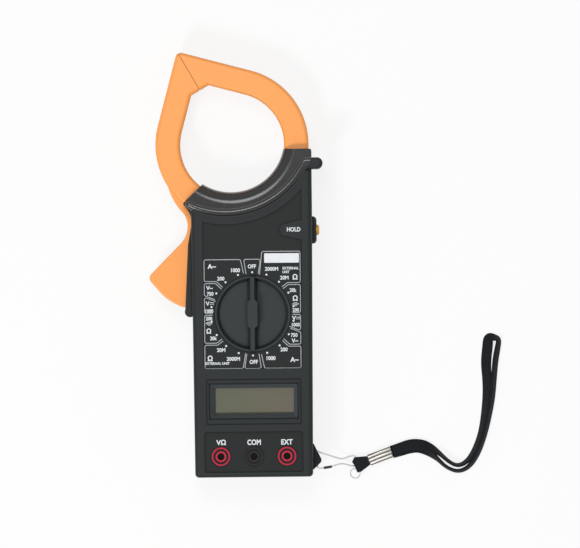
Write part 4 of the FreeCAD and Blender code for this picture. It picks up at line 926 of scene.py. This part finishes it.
class METER_OT_print(bpy.types.Operator):
    """Print the dial's sectors, dots, words and signs"""
    bl_idname = "meter.print"
    bl_label = "Printed dial"

    def line_work(self, name, lines, width, corner, finish, film):
        """Printed lines of one width with rounded corners, in one piece."""
        growth = Growth(name, width=width, corner=corner, film=film,
                        material=finish.material)
        curve = growth.node("MeshToCurve", ("Mesh", growth.input("Geometry")))
        round_off = growth.node("FilletCurve", ("Curve", curve.outputs[0]), ("Count", 5),
                                ("Radius", growth.input("Corner")), ("Limit Radius", True),
                                mode="POLY")
        upright = growth.node("SetCurveNormal", ("Curve", round_off.outputs[0]), mode="Z_UP")
        profile = growth.node("CurvePrimitiveQuadrilateral",
                              ("Width", growth.input("Width")),
                              ("Height", growth.input("Film")))
        band = growth.node("CurveToMesh", ("Curve", upright.outputs[0]),
                           ("Profile Curve", profile.outputs[0]), ("Fill Caps", True))
        base = lines_mesh(name, lines, PANEL_LEVEL + film / 2)
        return growth.grow(name, base, band)

    def execute(self, context):
        look = context.scene.meter_print
        ink = printed("print_ink", look.ink)
        line_ink = printed("line_ink", look.line)
        sectors = SECTOR_LINES + [half_turned(line) for line in SECTOR_LINES]
        sectors += [half_turned(RANGE_LINE),
                    [(x, y + PLATE_RISE * (y > 30)) for x, y in RANGE_LINE]]
        frames = self.line_work("dial_sectors", sectors, look.line_width, look.corner,
                                line_ink, look.film)
        marks = self.line_work("dial_signs", sign_lines(), 0.9 * look.line_width, 0.1 * MM,
                               ink, look.film)
        dots = self.dots(look, ink)
        words = lettering("dial_words", DIAL_WORDS, look.film)
        labels = lettering("case_words", CASE_WORDS, look.film)
        cover(frames, line_ink, "root")
        for piece in (marks, dots, words, labels):
            cover(piece, ink, "root")
        plate = link("note_plate", rounded_plate("plate", *PLATE))
        cover(plate, printed("plate_film", srgb(226, 229, 233)), "root")
        return {"FINISHED"}

    def dots(self, look, finish):
        """A ring of dots, one for each detent of the selector, with one at the top."""
        growth = Growth("dial_dots", steps=DIAL_STEPS, circle=look.dot_circle,
                        dot=look.dot, film=look.film, material=finish.material)
        ring = growth.node("MeshCircle", ("Vertices", growth.input("Steps")),
                           ("Radius", growth.input("Circle")))
        disc = growth.node("MeshCylinder", ("Vertices", 16), ("Radius", growth.input("Dot")),
                           ("Depth", growth.input("Film")))
        spread = growth.node("InstanceOnPoints", ("Points", ring.outputs[0]),
                             ("Instance", disc.outputs[0]))
        placed = growth.node("Transform", ("Geometry", spread.outputs[0]),
                             ("Translation", (0, 0, PANEL_LEVEL + look.film / 2)),
                             ("Rotation", (0, 0, math.pi / DIAL_STEPS)))
        return growth.grow("dial_dots", bpy.data.meshes.new("dial_dots"), placed)


class METER_OT_inside(bpy.types.Operator):
    """Finish the display, board, coil, battery and small metal parts"""
    bl_idname = "meter.inside"
    bl_label = "Inner parts"

    def execute(self, context):
        dress(Finish("window_acrylic", srgb(150, 155, 145), 0.06, alpha=0.06, ior=1.3,
                     specular_ior_level=0.15), "lcd_window")
        dress(self.display(), "lcd_glass")
        black = moulded("black_plastic", srgb(38, 38, 40), 0.5)
        dress(black, "lcd_frame", "board_chips", "buzzer", "zebra_strip", "hold_switch",
              "switch_plunger")
        dress(moulded("solder_mask", srgb(22, 92, 52), 0.35), "circuit_board")
        steel = metal("screw_steel", srgb(150, 152, 155), 0.3)
        dress(steel, "case_screws", "board_screws", "door_screw", "jaw_pivot_pin",
              "jaw_spring", "detent_balls", "detent_springs")
        dress(metal("contact_brass", srgb(214, 178, 98), 0.28), "contact_blades")
        dress(metal("sleeve_nickel", srgb(66, 64, 62), 0.35, relief=0), "jack_sleeves")
        dress(metal("core_laminations", srgb(120, 122, 126), 0.4), "fixed_core", "moving_core")
        dress(moulded("bobbin_nylon", srgb(226, 224, 214), 0.5), "coil_bobbin")
        dress(metal("coil_copper", srgb(184, 112, 66), 0.35), "coil_winding")
        dress(moulded("battery_shell", srgb(50, 62, 88), 0.35), "battery")
        dress(black, "battery_snap")
        dress(moulded("lead_insulation", srgb(176, 32, 30), 0.45), "battery_leads")
        return {"FINISHED"}

    def display(self):
        """The switched-off display: grey-green, browner to the right, with painted shadow at two
        edges.
        """
        cell = Finish("display_cell", srgb(84, 84, 66), 0.35, specular_ior_level=0.2)
        low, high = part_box("lcd_window")
        across = cell.step(cell.part("X"), low[0], high[0])
        green, brown, cloudy, foot_shadow, dark = ((*srgb(*tone), 1) for tone in (
            (94, 97, 76), (103, 95, 81), (84, 84, 68), (36, 36, 16), (8, 9, 7)))
        shade = cell.mix(across, green, brown)
        cloud = cell.noise(9 * MM, 3)
        shade = cell.mix(cell.between(cloud, 0.0, 0.25), shade, cloudy)
        # Painted shadow of the recess walls along the display's bottom and left edges.
        border = 2.6 * MM
        foot = cell.step(cell.part("Y"), low[1] + border, low[1] + border + 0.7 * MM)
        side = cell.step(cell.part("X"), low[0] + border, low[0] + border + 0.5 * MM)
        shade = cell.mix(foot, foot_shadow, shade)
        cell.set("Base Color", cell.mix(side, dark, shade))
        return cell


class METER_PT_panel(bpy.types.Panel):
    """Clamp meter pieces and settings"""
    bl_idname = "METER_PT_panel"
    bl_label = "Clamp meter"
    bl_space_type = "VIEW_3D"
    bl_region_type = "UI"
    bl_category = "Clamp meter"

    def draw(self, context):
        for group, settings in SETTINGS.items():
            box = self.layout.box()
            for name in settings.__annotations__:
                box.prop(getattr(context.scene, group), name)
        for operator in OPERATORS:
            self.layout.operator(operator.bl_idname)


OPERATORS = (METER_OT_camera, METER_OT_strap, METER_OT_stage, METER_OT_housing,
             METER_OT_print, METER_OT_inside)
CLASSES = (*SETTINGS.values(), *OPERATORS, METER_PT_panel)


def register():
    for each in CLASSES:
        bpy.utils.register_class(each)
    for name, settings in SETTINGS.items():
        setattr(bpy.types.Scene, name, bpy.props.PointerProperty(type=settings))


def unregister():
    for name in SETTINGS:
        delattr(bpy.types.Scene, name)
    for each in reversed(CLASSES):
        bpy.utils.unregister_class(each)


def main():
    register()
    bpy.ops.meter.camera()
    bpy.ops.meter.strap()
    bpy.ops.meter.stage()
    bpy.ops.meter.housing()
    bpy.ops.meter.print()
    bpy.ops.meter.inside()


if __name__ == "__main__":
    main()
